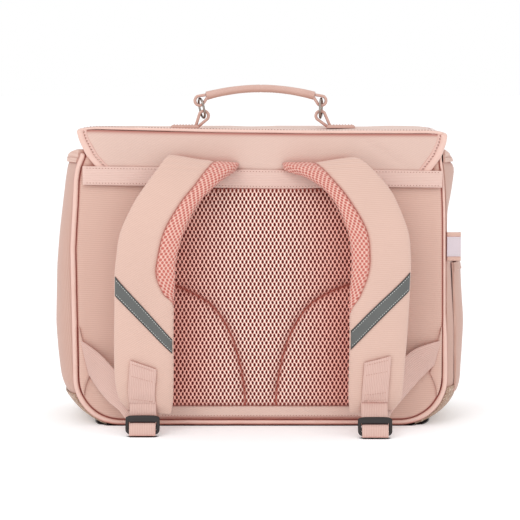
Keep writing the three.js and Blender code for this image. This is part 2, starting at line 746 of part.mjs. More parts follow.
function buckle(side) {
  const frame = new THREE.Shape();
  frame.moveTo(-buckleWidth / 2, 0);
  frame.lineTo(buckleWidth / 2, 0);
  frame.lineTo(buckleWidth / 2, buckleHeight);
  frame.lineTo(-buckleWidth / 2, buckleHeight);
  const slotHalf = webbingWidth / 2 + 2 * clearance;
  const { lowerBar, lowerSlot, middleBar, upperSlot } = buckleBars;
  const slots = [[lowerBar, lowerSlot], [lowerBar + lowerSlot + middleBar, upperSlot]];
  for (const [bottom, height] of slots) {
    const corners = [[-1, 0], [1, 0], [1, 1], [-1, 1]];
    const slot = corners.map(([x, up]) => new THREE.Vector2(x * slotHalf, bottom + up * height));
    frame.holes.push(new THREE.Path(slot));
  }
  const geometry = new THREE.ExtrudeGeometry(frame, { depth: buckleThickness, bevelEnabled: false });
  geometry.translate(0, 0, -buckleThickness / 2);
  const { at, up, out } = bucklePlace(side);
  geometry.applyMatrix4(new THREE.Matrix4().makeBasis(vec(1, 0, 0), up, out).setPosition(at(0, 0, 0)));
  return geometry;
}

// Sewn down the strap, then behind the buckle's upper bar and up in front of it.
function strapWebbing(side) {
  const { at } = bucklePlace(side);
  const radius = wrapRadius(buckleBars.upperBar);
  const wrap = [0, 40, 80, 120, 160, 190].map((degrees) => {
    const turn = THREE.MathUtils.degToRad(degrees);
    return at(0, upperBarMiddle - radius * Math.sin(turn), -radius * Math.cos(turn));
  });
  const stations = [...strapWebbingStart(side), ...wrap];
  return ribbon(stations.map((place) => ({ at: place, across: vec(1, 0, 0), wide: webbingWidth })),
    webbingThickness);
}

// From the anchor tab behind the strap to the buckle, up behind its lower bars, over the middle
// bar and down in front as the tail that ends on the floor.
function adjusterWebbing(side) {
  const sign = signOf[side];
  const { at } = bucklePlace(side);
  const behind = at(0, buckleBars.lowerBar, -buckleThickness / 2 - clearance - webbingThickness);
  const lean = anchorReach * (anchorTop * (1 - adjusterRows[0].high)) / (anchorTop - anchorApex);
  const start = vec(sign * (anchorEdge - lean - 2 * clearance), -bandFace, 0);
  const loose = adjusterRows.map(({ side: share, out, high, lean, wide }) => {
    const turn = (lean * Math.PI) / 2;
    return {
      at: vec(THREE.MathUtils.lerp(start.x, behind.x, share), THREE.MathUtils.lerp(start.y, behind.y, out),
        anchorTop * high),
      across: vec(-sign * Math.sin(turn), 0, -Math.cos(turn)), wide: webbingWidth * wide,
    };
  });
  const radius = wrapRadius(buckleBars.middleBar);
  const wrap = [0, 45, 90, 135, 180].map((degrees) => {
    const turn = THREE.MathUtils.degToRad(degrees);
    return at(0, middleBarMiddle + radius * Math.sin(turn), -radius * Math.cos(turn));
  });
  const tailEnd = at(0, 0, radius);
  tailEnd.z = clearance + webbingThickness / 2;
  const straight = [behind, ...wrap, tailEnd];
  const across = vec(-sign, 0, 0);
  return ribbon([...loose, ...straight.map((place) => ({ at: place, across, wide: webbingWidth }))],
    webbingThickness);
}

// A triangular tab sewn in the side seam, which the lower webbing comes out of.
function anchorTab(side) {
  const sign = signOf[side];
  const bend = cornerRadius - 2 * pipingRadius - clearance;
  const drop = Math.max(0, cornerRadius - anchorBottom);
  const lowEdge = halfWidth - cornerRadius + Math.sqrt(bend ** 2 - drop ** 2) - clearance;
  const corners = [
    [anchorEdge, anchorTop], [anchorEdge, cornerRadius], [lowEdge, anchorBottom],
    [anchorEdge - anchorReach, anchorApex],
  ];
  const shape = new THREE.Shape(corners.map(([x, z]) => new THREE.Vector2(sign * x, z)));
  const geometry = new THREE.ExtrudeGeometry(shape, { depth: anchorThickness, bevelEnabled: false });
  geometry.rotateX(Math.PI / 2);
  geometry.translate(0, -panelFace - clearance, 0);
  return geometry;
}

// The rolled grip: a shallow arch, a little fuller at its ends.
function handleGrip() {
  const stations = Array.from({ length: 13 }, (_, i) => {
    const share = i / 6 - 1;
    const radius = gripRadius + (gripEndRadius - gripRadius) * Math.abs(share) ** 3;
    const at = vec((gripLength / 2) * share, 0, gripHeight + gripRise * (1 - share ** 2));
    return { at, radius };
  });
  return roundBar(stations, 8, vec(0, 1, 0));
}

const gripTip = gripLength / 2 + gripEndRadius * Math.sin(Math.atan((4 * gripRise) / gripLength));
const linkX = gripTip + clearance + loopRadius;
const linkTop = linkBottom + linkHeight;
const upperLoopZ = linkTop - 2 * linkWire - (loopHole - 2 * linkWire);
const lowerLoopZ = linkBottom + 2 * linkWire + (loopHole - 2 * linkWire);

// A loop of leather seen from its side: a ring drawn out into a tongue that ends in two corners.
function loopSolid(centreX, centreZ, tongue) {
  const middle = [(tongue[0][0] + tongue[1][0]) / 2 - centreX, (tongue[0][1] + tongue[1][1]) / 2 - centreZ];
  const leftOf = ([x, z]) => middle[0] * (z - centreZ) - middle[1] * (x - centreX);
  const [second, first] = [...tongue].sort((a, b) => leftOf(a) - leftOf(b));
  const towards = Math.atan2(middle[1], middle[0]);
  const outline = [];
  for (let i = 0; i <= 10; i++) {
    const turn = towards + Math.PI * (0.34 + 1.32 * (i / 10));
    const [x, z] = [loopRadius * Math.cos(turn), loopRadius * Math.sin(turn)];
    outline.push(new THREE.Vector2(centreX + x, centreZ + z));
  }
  outline.push(new THREE.Vector2(...second), new THREE.Vector2(...first));
  const shape = new THREE.Shape(outline);
  const hole = new THREE.Path();
  hole.absarc(centreX, centreZ, loopHole, 0, 2 * Math.PI);
  shape.holes.push(hole);
  const options = { depth: loopWidth, bevelEnabled: false, curveSegments: 6 };
  const geometry = new THREE.ExtrudeGeometry(shape, options);
  geometry.rotateX(Math.PI / 2);
  geometry.translate(0, loopWidth / 2, 0);
  return geometry;
}

function handleLoop(side) {
  const sign = signOf[side];
  const tip = gripTip + clearance;
  const rise = gripEndRadius * 0.8;
  const upper = [sign * tip, gripHeight + rise];
  const lower = [sign * tip, gripHeight - rise];
  return loopSolid(sign * linkX, upperLoopZ, [upper, lower]);
}

function toManifold(geometry) {
  const bare = geometry.clone();
  bare.deleteAttribute('normal');
  bare.deleteAttribute('uv');
  const merged = mergeVertices(bare, 1e-4);
  return new wasm.Manifold(new wasm.Mesh({
    numProp: 3,
    vertProperties: new Float32Array(merged.attributes.position.array),
    triVerts: new Uint32Array(merged.index.array),
  }));
}

function fromManifold(solid) {
  const { vertProperties, triVerts } = solid.getMesh();
  const geometry = new THREE.BufferGeometry();
  geometry.setAttribute('position', new THREE.BufferAttribute(vertProperties, 3));
  geometry.setIndex(new THREE.BufferAttribute(triVerts, 1));
  geometry.computeVertexNormals();
  return geometry;
}

// The patch sewn on the flap's top, whose inner end rises into the loop round the link.
function handleAnchor(side) {
  const sign = signOf[side];
  const patchBottom = flapTopHeight + flapDome + flapThickness / 2 + clearance;
  const start = linkX + loopRadius * 0.9;
  const top = [sign * (start + 1), patchBottom + patchThickness];
  const bottom = [sign * (start + 1), patchBottom];
  const loop = loopSolid(sign * linkX, lowerLoopZ, [top, bottom]);
  const patch = new THREE.BoxGeometry(patchLength, patchWidth, patchThickness);
  patch.translate(sign * (start + patchLength / 2), 0, patchBottom + patchThickness / 2);
  return fromManifold(toManifold(loop).add(toManifold(patch)));
}

// A steel link: a round ring drawn out into an oval that stands in the handle's two loops.
function handleLink(side) {
  const stretch = (linkHeight - linkWidth) / 2;
  const geometry = new THREE.TorusGeometry(linkWidth / 2 - linkWire, linkWire, 6, 16);
  const place = geometry.attributes.position;
  for (let i = 0; i < place.count; i++) {
    const y = place.getY(i);
    if (Math.abs(y) > 1.5 * linkWire) place.setY(i, y + Math.sign(y) * stretch);
  }
  geometry.rotateX(Math.PI / 2);
  geometry.rotateZ(Math.PI / 2 + THREE.MathUtils.degToRad(linkTurn[side]));
  geometry.translate(signOf[side] * linkX, 0, linkBottom + linkHeight / 2);
  return geometry;
}

// The pocket stands off the right side wall, open at its top, and runs out at its foot.
function sidePocket() {
  const upShares = [1, 0.75, 0.5, 0.27, 0.12, 0.04, 0];
  const heights = upShares.map((share) => pocketBottom + (pocketTop - pocketBottom) * share);
  const outline = heights.map((z) => {
    const drop = Math.max(0, cornerRadius - z) / cornerRadius;
    const x = halfWidth - cornerRadius + cornerRadius * Math.sqrt(1 - drop ** 2);
    return { x, z, out: [1, 0] };
  });
  const margin = pocketMargin / (2 * gussetEdge);
  const shares = depthShares.map((share) => margin + share * (1 - 2 * margin));
  const stand = (offset) => outline.map(({ x, z }) => {
    const foot = Math.min(1, (z - pocketBottom) / (0.6 * (pocketTop - pocketBottom)));
    return shares.map((share, i) => {
      const off = pocketReach * Math.sin((foot * Math.PI) / 2) * (1 - Math.abs(2 * depthShares[i] - 1) ** 4);
      return vec(x + swell(x, z, share) + off + offset, gussetEdge * (2 * share - 1), z);
    });
  });
  const gap = 3 * clearance;
  return wall(stand(gap + pocketWall), stand(gap));
}

// A folded tab sewn in the right seam over the pocket, and the blank label on its face.
function pocketTab() {
  const geometry = new THREE.BoxGeometry(tabWidth, tabThickness, tabHeight);
  geometry.translate(halfWidth + clearance + tabWidth / 2, -gussetEdge - clearance - tabThickness / 2,
    tabTop - tabHeight / 2);
  return geometry;
}

function pocketLabel() {
  const face = -gussetEdge - 2 * clearance - tabThickness;
  const geometry = new THREE.BoxGeometry(tabWidth - 2 * clearance, labelThickness, labelHeight);
  geometry.translate(halfWidth + clearance + tabWidth / 2, face - labelThickness / 2, tabTop - tabHeight / 2);
  return geometry;
}

// A leather patch round each lower corner of the side wall.
function cornerPatch(side) {
  const sign = signOf[side];
  const centre = halfWidth - cornerRadius;
  const from = Math.asin(1 - cornerPatchTop / cornerRadius);
  const to = THREE.MathUtils.degToRad(cornerPatchEnd);
  const outline = Array.from({ length: 7 }, (_, i) => {
    const turn = from + (to - from) * (i / 6);
    return {
      x: sign * (centre + cornerRadius * Math.cos(turn)), z: cornerRadius * (1 - Math.sin(turn)),
      out: [sign * Math.cos(turn), -Math.sin(turn)],
    };
  });
  if (side === 'right') outline.reverse();
  const gap = 2.5 * clearance;
  const outer = gussetSkin(outline, depthShares, gap + cornerPatchThickness);
  return wall(outer, gussetSkin(outline, depthShares, gap));
}

// A plain clasp: its upper half lies on the flap's bound edge, its lower half on the front panel.
function clasp(side) {
  const face = flapFrontY + bindingThickness / 2 + clearance;
  const edge = flapFrontBottom - clearance;
  const bottom = edge - claspHeight / 2 + bindingWidth;
  const back = panelFace + clearance;
  const profile = [
    [face, edge], [face, bottom + claspHeight], [face + claspThickness * 0.6, bottom + claspHeight],
    [face + claspThickness, bottom + claspHeight * 0.85],
    [face + claspThickness, bottom + claspHeight * 0.15],
    [face + claspThickness * 0.6, bottom], [back, bottom], [back, edge],
  ];
  const shape = new THREE.Shape(profile.map(([y, z]) => new THREE.Vector2(y, z)));
  const geometry = new THREE.ExtrudeGeometry(shape, { depth: claspWidth, bevelEnabled: false });
  geometry.rotateX(Math.PI / 2);
  geometry.rotateZ(Math.PI / 2);
  geometry.translate(signOf[side] * claspOffset - claspWidth / 2, 0, 0);
  return geometry;
}

add('back_panel', 'fabric', panel(-1));
add('front_panel', 'fabric', panel(1));
add('gusset', 'fabric', gusset());
add('back_piping', 'vinyl', piping(-1));
add('front_piping', 'vinyl', piping(1));
add('flap', 'fabric', flap());
add('flap_back', 'fabric', flapBack());
add('flap_binding', 'vinyl', flapBinding());
add('flap_top_cord', 'vinyl', flapTopCord());
add('back_band', 'webbing', backBand());
add('back_pad', 'mesh', backPad());
add('back_pad_hem', 'fabric', padHem());
add('handle_grip', 'leather', handleGrip());
add('side_pocket', 'fabric', sidePocket());
add('pocket_tab', 'fabric', pocketTab());
add('pocket_label', 'label', pocketLabel());
for (const side of ['left', 'right']) {
  add(`gusset_hem_${side}`, 'fabric', gussetHem(side));
  add(`shoulder_strap_${side}`, 'fabric', strapFabric(side));
  add(`strap_lining_${side}`, 'mesh', strapLining(side));
  add(`reflective_tape_${side}`, 'tape', reflectiveTape(side));
  add(`strap_webbing_${side}`, 'webbing', strapWebbing(side));
  add(`buckle_${side}`, 'plastic', buckle(side));
  add(`adjuster_webbing_${side}`, 'webbing', adjusterWebbing(side));
  add(`anchor_tab_${side}`, 'fabric', anchorTab(side));
  add(`handle_loop_${side}`, 'leather', handleLoop(side));
  add(`handle_anchor_${side}`, 'leather', handleAnchor(side));
  add(`handle_link_${side}`, 'steel', handleLink(side));
  add(`corner_patch_${side}`, 'patch', cornerPatch(side));
  add(`clasp_${side}`, 'steel', clasp(side));
}

export default group;
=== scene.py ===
import math
import bpy
import numpy as np
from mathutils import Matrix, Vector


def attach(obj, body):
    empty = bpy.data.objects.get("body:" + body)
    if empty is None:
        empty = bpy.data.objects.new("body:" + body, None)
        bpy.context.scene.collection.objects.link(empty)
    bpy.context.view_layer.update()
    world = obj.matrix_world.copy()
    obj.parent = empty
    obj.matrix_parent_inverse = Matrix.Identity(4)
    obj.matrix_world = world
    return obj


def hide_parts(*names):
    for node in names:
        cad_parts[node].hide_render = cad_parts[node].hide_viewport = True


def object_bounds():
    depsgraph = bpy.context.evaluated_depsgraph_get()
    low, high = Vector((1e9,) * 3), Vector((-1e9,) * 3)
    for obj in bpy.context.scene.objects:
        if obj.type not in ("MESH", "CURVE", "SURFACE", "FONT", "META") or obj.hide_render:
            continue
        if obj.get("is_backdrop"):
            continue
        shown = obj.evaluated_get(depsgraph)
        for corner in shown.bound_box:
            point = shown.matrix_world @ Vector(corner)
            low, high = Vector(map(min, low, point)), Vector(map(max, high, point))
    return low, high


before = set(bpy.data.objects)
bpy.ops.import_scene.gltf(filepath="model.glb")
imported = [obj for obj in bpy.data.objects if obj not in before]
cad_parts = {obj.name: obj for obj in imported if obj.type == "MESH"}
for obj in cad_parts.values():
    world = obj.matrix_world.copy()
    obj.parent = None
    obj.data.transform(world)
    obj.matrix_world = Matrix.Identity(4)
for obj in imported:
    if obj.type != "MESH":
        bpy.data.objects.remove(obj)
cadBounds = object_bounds()
print("frame loaded")

# Lengths are in millimetres until a piece is put in its mesh, where mm turns them into metres.
mm = 0.001
sharpAngle = math.radians(55)
number = "NodeSocketFloat"
signOf = {"left": -1, "right": 1}

body = {
    "width": 382, "depth": 150, "cornerRadius": 49, "pipingRadius": 3, "panelHeight": 272,
    "backRise": 4.5, "cordSunk": 0.5, "rightEase": 1.3, "tabTuck": 2.7,
    "panelThickness": 3, "gussetHeight": 278, "gussetWall": 2, "gussetBulge": 21, "gussetFold": 13,
    "gap": 0.3, "fabricRipple": 0.5,
}
halfWidth = body["width"] / 2
halfDepth = body["depth"] / 2
pipingY = halfDepth - body["pipingRadius"]
panelFace = pipingY + body["panelThickness"] / 2
gussetEdge = pipingY - body["pipingRadius"] - body["gap"]
gap = body["gap"]


# Shapes: grids of points and what closes them

def unit(vectors):
    # each vector over its own length
    return vectors / np.maximum(np.linalg.norm(vectors, axis=-1, keepdims=True), 1e-9)


def easeIn(value, low, high):
    # 0 below low, 1 above high, and a smooth s-curve between
    t = np.clip((np.asarray(value, float) - low) / (high - low), 0, 1)
    return t * t * (3 - 2 * t)


def throughRows(values, at):
    # a Catmull-Rom curve through equally spaced values, read at shares of its length
    values = np.asarray(values, float)
    place = np.clip(at, 0, 1) * (len(values) - 1)
    i = np.minimum(place.astype(int), len(values) - 2)
    t = place - i
    if values.ndim > 1:
        t = t[..., None]
    a, b = values[i], values[i + 1]
    before, after = values[np.maximum(i - 1, 0)], values[np.minimum(i + 2, len(values) - 1)]
    return 0.5 * (2 * a + (b - before) * t + (2 * before - 5 * a + 4 * b - after) * t ** 2
                  + (3 * a - before - 3 * b + after) * t ** 3)


def alongCurve(points, count, power=1.0):
    # points spread evenly by length over a Catmull-Rom curve through the given points
    dense = throughRows(points, np.linspace(0, 1, 400))
    length = np.concatenate([[0], np.cumsum(np.linalg.norm(np.diff(dense, axis=0), axis=1))])
    wanted = length[-1] * np.linspace(0, 1, count) ** power
    return np.stack([np.interp(wanted, length, dense[:, k]) for k in range(dense.shape[1])], 1)


def ripples(points, size, seed, waves=12):
    # a sum of seeded plane waves about one size long, mostly between -1 and 1
    random = np.random.default_rng(seed)
    ways = unit(random.normal(size=(waves, 3))) / (size * random.uniform(0.7, 1.6, (waves, 1)))
    phase = points @ ways.T * 2 * math.pi + random.uniform(0, 2 * math.pi, waves)
    return np.sin(phase).sum(-1) / math.sqrt(waves)


def gridFaces(rows, columns, closed=False):
    # four corners of each cell of a grid, and the same corners in a grid with one column more
    r, c = np.meshgrid(np.arange(rows - 1), np.arange(columns if closed else columns - 1), indexing="ij")
    r, c = r.ravel(), c.ravel()
    right = (c + 1) % columns
    wide = columns + 1 if closed else columns
    corners = np.stack([r * columns + c, r * columns + right, (r + 1) * columns + right, (r + 1) * columns + c], 1)
    unrolled = np.stack([r * wide + c, r * wide + c + 1, (r + 1) * wide + c + 1, (r + 1) * wide + c], 1)
    return corners, unrolled


def gridNormals(grid):
    # the cross product of a grid's two directions at every point
    return unit(np.cross(np.gradient(grid, axis=0), np.gradient(grid, axis=1)))


def wallPatch(outer, inner, uv):
    # a closed wall between two grids of points: both skins and the four edges
    rows, columns = outer.shape[:2]
    far = rows * columns
    quads, unrolled = gridFaces(rows, columns)
    border = np.concatenate([
        np.arange(columns), np.arange(1, rows) * columns + columns - 1,
        (rows - 1) * columns + np.arange(columns - 2, -1, -1), np.arange(rows - 2, 0, -1) * columns])
    following = np.roll(border, -1)
    rim = np.stack([following, border, border + far, following + far], 1)
    flat = uv.reshape(-1, 2)
    both = np.concatenate([flat, flat])
    return {
        "points": np.concatenate([outer.reshape(-1, 3), inner.reshape(-1, 3)]),
        "faces": np.concatenate([quads, quads[:, ::-1] + far, rim]), "caps": [],
        "uv": np.concatenate([flat[unrolled], flat[unrolled[:, ::-1]], both[rim]]),
    }


def sheetPatch(grid, thickness, uv, edge=0.0):
    # a grid given its thickness along its own normals, thinner towards its edges
    rows, columns = grid.shape[:2]
    fade = np.ones((rows, columns))
    if edge:
        r = np.minimum(np.arange(rows), np.arange(rows)[::-1])[:, None]
        c = np.minimum(np.arange(columns), np.arange(columns)[::-1])[None, :]
        fade = np.where(np.minimum(r, c) == 0, 1 - edge, 1.0)
    move = gridNormals(grid) * (thickness / 2 * fade)[..., None]
    return wallPatch(grid + move, grid - move, uv)


def loftPatch(rings, uv=None, caps=True):
    # a closed solid through rings of points, its ends closed by flat faces
    rows, columns = rings.shape[:2]
    quads, unrolled = gridFaces(rows, columns, closed=True)
    if uv is None:
        uv = gridUv(np.concatenate([rings, rings[:, :1]], 1))
    ends = [list(range(columns))[::-1], list(range((rows - 1) * columns, rows * columns))] if caps else []
    return {"points": rings.reshape(-1, 3), "faces": quads, "caps": ends, "uv": uv.reshape(-1, 2)[unrolled]}


def ringPatch(rings):
    # a tube that runs back into itself
    rows = len(rings)
    patch = loftPatch(np.concatenate([rings, rings[:1]]), caps=False)
    columns = rings.shape[1]
    patch["points"] = rings.reshape(-1, 3)
    patch["faces"] = patch["faces"] % (rows * columns)
    return patch


def gridUv(grid):
    # lengths in metres along a grid's middle row and column
    rows, columns = grid.shape[:2]
    down = np.linalg.norm(np.diff(grid[:, columns // 2], axis=0), axis=1)
    over = np.linalg.norm(np.diff(grid[rows // 2], axis=0), axis=1)
    v = np.concatenate([[0], np.cumsum(down)]) * mm
    u = np.concatenate([[0], np.cumsum(over)]) * mm
    return np.stack(np.meshgrid(u, v), -1)


def roundedEnds(rings, depth, steps=5):
    # adds a dome to both ends of a stack of rings
    def dome(ring, beyond):
        # rings that shrink by a cosine as they move out by a sine
        turn = np.linspace(0, math.pi / 2, steps + 1)[1:, None, None]
        middle = ring.mean(0)
        return middle + beyond * depth * np.sin(turn) + (ring - middle) * np.maximum(np.cos(turn), 0.06)
    first = dome(rings[0], unit(rings[0].mean(0) - rings[1].mean(0)))[::-1]
    last = dome(rings[-1], unit(rings[-1].mean(0) - rings[-2].mean(0)))
    return np.concatenate([first, rings, last])


def roundProfile(width, thick, power, count):
    # a closed superellipse: a circle at power 2, close to a rectangle with round edges at 8
    turn = np.linspace(0, 2 * math.pi, count, endpoint=False)
    x, y = np.cos(turn), np.sin(turn)
    return np.stack([np.sign(x) * np.abs(x) ** (2 / power) * width / 2,
                     np.sign(y) * np.abs(y) ** (2 / power) * thick / 2], 1)


def sweep(path, across, profile, ring=False):
    # carries a profile along a path; the profile's second direction is the path's crossed with across
    if ring:
        along = unit(np.roll(path, -1, 0) - np.roll(path, 1, 0))
    else:
        along = unit(np.gradient(path, axis=0))
    side = unit(np.broadcast_to(across, path.shape))
    up = unit(np.cross(along, side))
    profile = np.broadcast_to(profile, (len(path), *profile.shape[-2:]))
    return path[:, None] + profile[..., :1] * side[:, None] + profile[..., 1:] * up[:, None]


def signedVolume(patch):
    # a sixth of the sum of every face's triple product
    p = patch["points"]
    a, b, c, d = (p[patch["faces"][:, k]] for k in range(4))
    total = (a * np.cross(b, c)).sum() + (a * np.cross(c, d)).sum()
    for cap in patch["caps"]:
        q = p[cap]
        total += (q[0] * np.cross(q[1:-1], q[2:])).sum()
    return total / 6


def makePiece(name, patches, material, nodes=(), paintedSeamShade=None):
    # puts closed patches into one mesh, faces outwards, and lets it stand for the CAD nodes;
    # the seam shade values give how much painted seam shade each point of the first patch gets
    points, faces, uvs, start = [], [], [], 0
    for patch in patches:
        turned = signedVolume(patch) < 0
        quads = patch["faces"][:, ::-1] if turned else patch["faces"]
        corners = patch["uv"][:, ::-1] if turned else patch["uv"]
        faces += (quads + start).tolist()
        uvs.append(corners.reshape(-1, 2))
        for cap in patch["caps"]:
            ring = cap[::-1] if turned else cap
            faces.append([k + start for k in ring])
            uvs.append(np.zeros((len(ring), 2)))
        points.append(patch["points"])
        start += len(patch["points"])
    mesh = bpy.data.meshes.new(name)
    mesh.from_pydata((np.concatenate(points) * mm).tolist(), [], faces)
    mesh.uv_layers.new(name="surface").data.foreach_set("uv", np.concatenate(uvs).astype(np.float32).ravel())
    if paintedSeamShade is not None:
        shade = np.zeros(start, np.float32)
        shade[:paintedSeamShade.size] = paintedSeamShade.ravel()
        shade[paintedSeamShade.size:2 * paintedSeamShade.size] = paintedSeamShade.ravel()[:max(0, start - paintedSeamShade.size)]
        # painted shade: the seam attribute carries the painted seam shade to the materials
        mesh.attributes.new("seam", "FLOAT", "POINT").data.foreach_set("value", shade)
    mesh.polygons.foreach_set("use_smooth", np.ones(len(mesh.polygons), bool))
    mesh.set_sharp_from_angle(angle=sharpAngle)
    mesh.materials.append(material)
    piece = bpy.data.objects.new(name, mesh)
    bpy.context.scene.collection.objects.link(piece)
    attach(piece, "root")
    if nodes:
        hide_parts(*nodes)
    return piece


def skinArea(grid):
    # the area of a grid of points in square metres
    a, b = np.diff(grid[:, :-1], axis=0), np.diff(grid[:-1], axis=1)
    return float(np.linalg.norm(np.cross(a, b), axis=-1).sum()) * mm * mm


# Stitches

thread = {"pitch": 3.1, "length": 2.3, "radius": 0.32}


def stitchPatch(path, out, pitch=None, length=None, radius=None, skip=0.0):
    # short threads laid along a path, each a small capsule sunk at both ends
    pitch, length = pitch or thread["pitch"], length or thread["length"]
    radius = radius or thread["radius"]
    run = np.concatenate([[0], np.cumsum(np.linalg.norm(np.diff(path, axis=0), axis=1))])
    middles = np.arange(skip + pitch / 2, run[-1] - skip, pitch)
    read = lambda values, at: np.stack([np.interp(at, run, values[:, k]) for k in range(3)], 1)
    centre = read(path, middles)
    along = unit(read(path, middles + 0.5) - read(path, middles - 0.5))
    up = unit(read(np.broadcast_to(out, path.shape), middles))
    side = unit(np.cross(up, along))
    stations = np.array([-0.5, -0.36, 0, 0.36, 0.5])
    lift = np.array([-1.0, -0.1, 0.35, -0.1, -1.0]) * radius
    wide = np.array([0.35, 0.95, 1.0, 0.95, 0.35]) * radius
    turn = np.linspace(0, 2 * math.pi, 6, endpoint=False)
    shape = np.stack([np.repeat(stations[:, None] * length, 6, 1), wide[:, None] * np.cos(turn),
                      lift[:, None] + wide[:, None] * np.sin(turn)], -1).reshape(-1, 3)
    points = (centre[:, None] + shape[None, :, :1] * along[:, None] + shape[None, :, 1:2] * side[:, None]
              + shape[None, :, 2:] * up[:, None])
    quads, _ = gridFaces(5, 6, closed=True)
    starts = np.arange(len(middles)) * len(shape)
    faces = (quads[None] + starts[:, None, None]).reshape(-1, 4)
    caps = [[int(s + k) for k in ring] for s in starts for ring in (range(5, -1, -1), range(24, 30))]
    return {"points": points.reshape(-1, 3), "faces": faces, "caps": caps, "uv": np.zeros((len(faces), 4, 2))}


# Materials

def shown(red, green, blue, strength=0.80):
    # a surface colour that looks like these picture values under this scene's light
    parts = np.array([red, green, blue]) / 255
    linear = np.where(parts <= 0.04045, parts / 12.92, ((parts + 0.055) / 1.055) ** 2.4)
    return (*(linear * strength).tolist(), 1.0)


def newGroup(name, inputs, outputs):
    # an empty node group and the sockets of its two end nodes
    group = bpy.data.node_groups.new(name, "ShaderNodeTree")
    for label, kind, value in inputs:
        socket = group.interface.new_socket(label, in_out="INPUT", socket_type=kind)
        if value is not None:
            socket.default_value = value
    for label, kind in outputs:
        group.interface.new_socket(label, in_out="OUTPUT", socket_type=kind)
    return group, group.nodes.new("NodeGroupInput").outputs, group.nodes.new("NodeGroupOutput").inputs


def wire(tree, socket, value):
    # links an output to a socket, or sets a plain value
    if isinstance(value, bpy.types.NodeSocket):
        tree.links.new(value, socket)
    elif value is not None:
        socket.default_value = value


def calc(tree, operation, *values, clamp=False):
    # one math node
    node = tree.nodes.new("ShaderNodeMath")
    node.operation = operation
    node.use_clamp = clamp
    for socket, value in zip(node.inputs, values):
        wire(tree, socket, value)
    return node.outputs[0]


def times(tree, first, second, clamp=False):
    # the product of two values
    return calc(tree, "MULTIPLY", first, second, clamp=clamp)


def plus(tree, first, second):
    # the sum of two values
    return calc(tree, "ADD", first, second)


def ease(tree, value, low, high):
    # a smooth s-curve, 0 at low and 1 at high
    node = tree.nodes.new("ShaderNodeMapRange")
    node.interpolation_type = "SMOOTHSTEP"
    for socket, part in zip(node.inputs, (value, low, high)):
        wire(tree, socket, part)
    return node.outputs[0]


def noise(tree, vector, scale, detail=2.0, roughness=0.5):
    # a noise texture's value
    node = tree.nodes.new("ShaderNodeTexNoise")
    wire(tree, node.inputs["Vector"], vector)
    for label, value in (("Scale", scale), ("Detail", detail), ("Roughness", roughness)):
        wire(tree, node.inputs[label], value)
    return node.outputs["Fac"]


def blendColour(tree, factor, first, second, kind="MIX"):
    # first at factor 0 and second at 1, or their product
    node = tree.nodes.new("ShaderNodeMix")
    node.data_type = "RGBA"
    node.blend_type = kind
    wire(tree, node.inputs[0], factor)
    wire(tree, node.inputs[6], first)
    wire(tree, node.inputs[7], second)
    return node.outputs[2]


def splitVector(tree, vector):
    # a vector's X, Y and Z
    node = tree.nodes.new("ShaderNodeSeparateXYZ")
    wire(tree, node.inputs[0], vector)
    return node.outputs


def ribWeaveGroup():
    # ribs across one direction and finer threads across the other, both a little uneven
    tree, given, made = newGroup("rib weave", [
        ("Vector", "NodeSocketVector", None), ("Turn", number, 0.0),
        ("Rib", number, 0.002), ("Thread", number, 0.0008),
        ("Uneven", number, 0.8)], [("Shade", number), ("Height", number)])
    turn = tree.nodes.new("ShaderNodeVectorRotate")
    turn.rotation_type = "Z_AXIS"
    wire(tree, turn.inputs["Vector"], given["Vector"])
    wire(tree, turn.inputs["Angle"], given["Turn"])
    parts = splitVector(tree, turn.outputs[0])
    drift = times(tree, noise(tree, given["Vector"], 90.0), given["Uneven"])
    ribs = plus(tree, calc(tree, "DIVIDE", times(tree, parts["Y"], math.tau), given["Rib"]), drift)
    rib = calc(tree, "MULTIPLY_ADD", calc(tree, "SINE", ribs), 0.5, 0.5)
    threads = calc(tree, "DIVIDE", times(tree, parts["X"], math.tau), given["Thread"])
    woven = calc(tree, "MULTIPLY_ADD", calc(tree, "SINE", plus(tree, threads, ribs)), 0.5, 0.5)
    height = calc(tree, "MULTIPLY_ADD", rib, 0.7, times(tree, woven, 0.3))
    fibre = noise(tree, given["Vector"], 1400.0, 3.0, 0.6)
    wire(tree, made["Height"], height)
    wire(tree, made["Shade"], calc(tree, "MULTIPLY_ADD", height, 0.75, times(tree, fibre, 0.25)))
    return tree


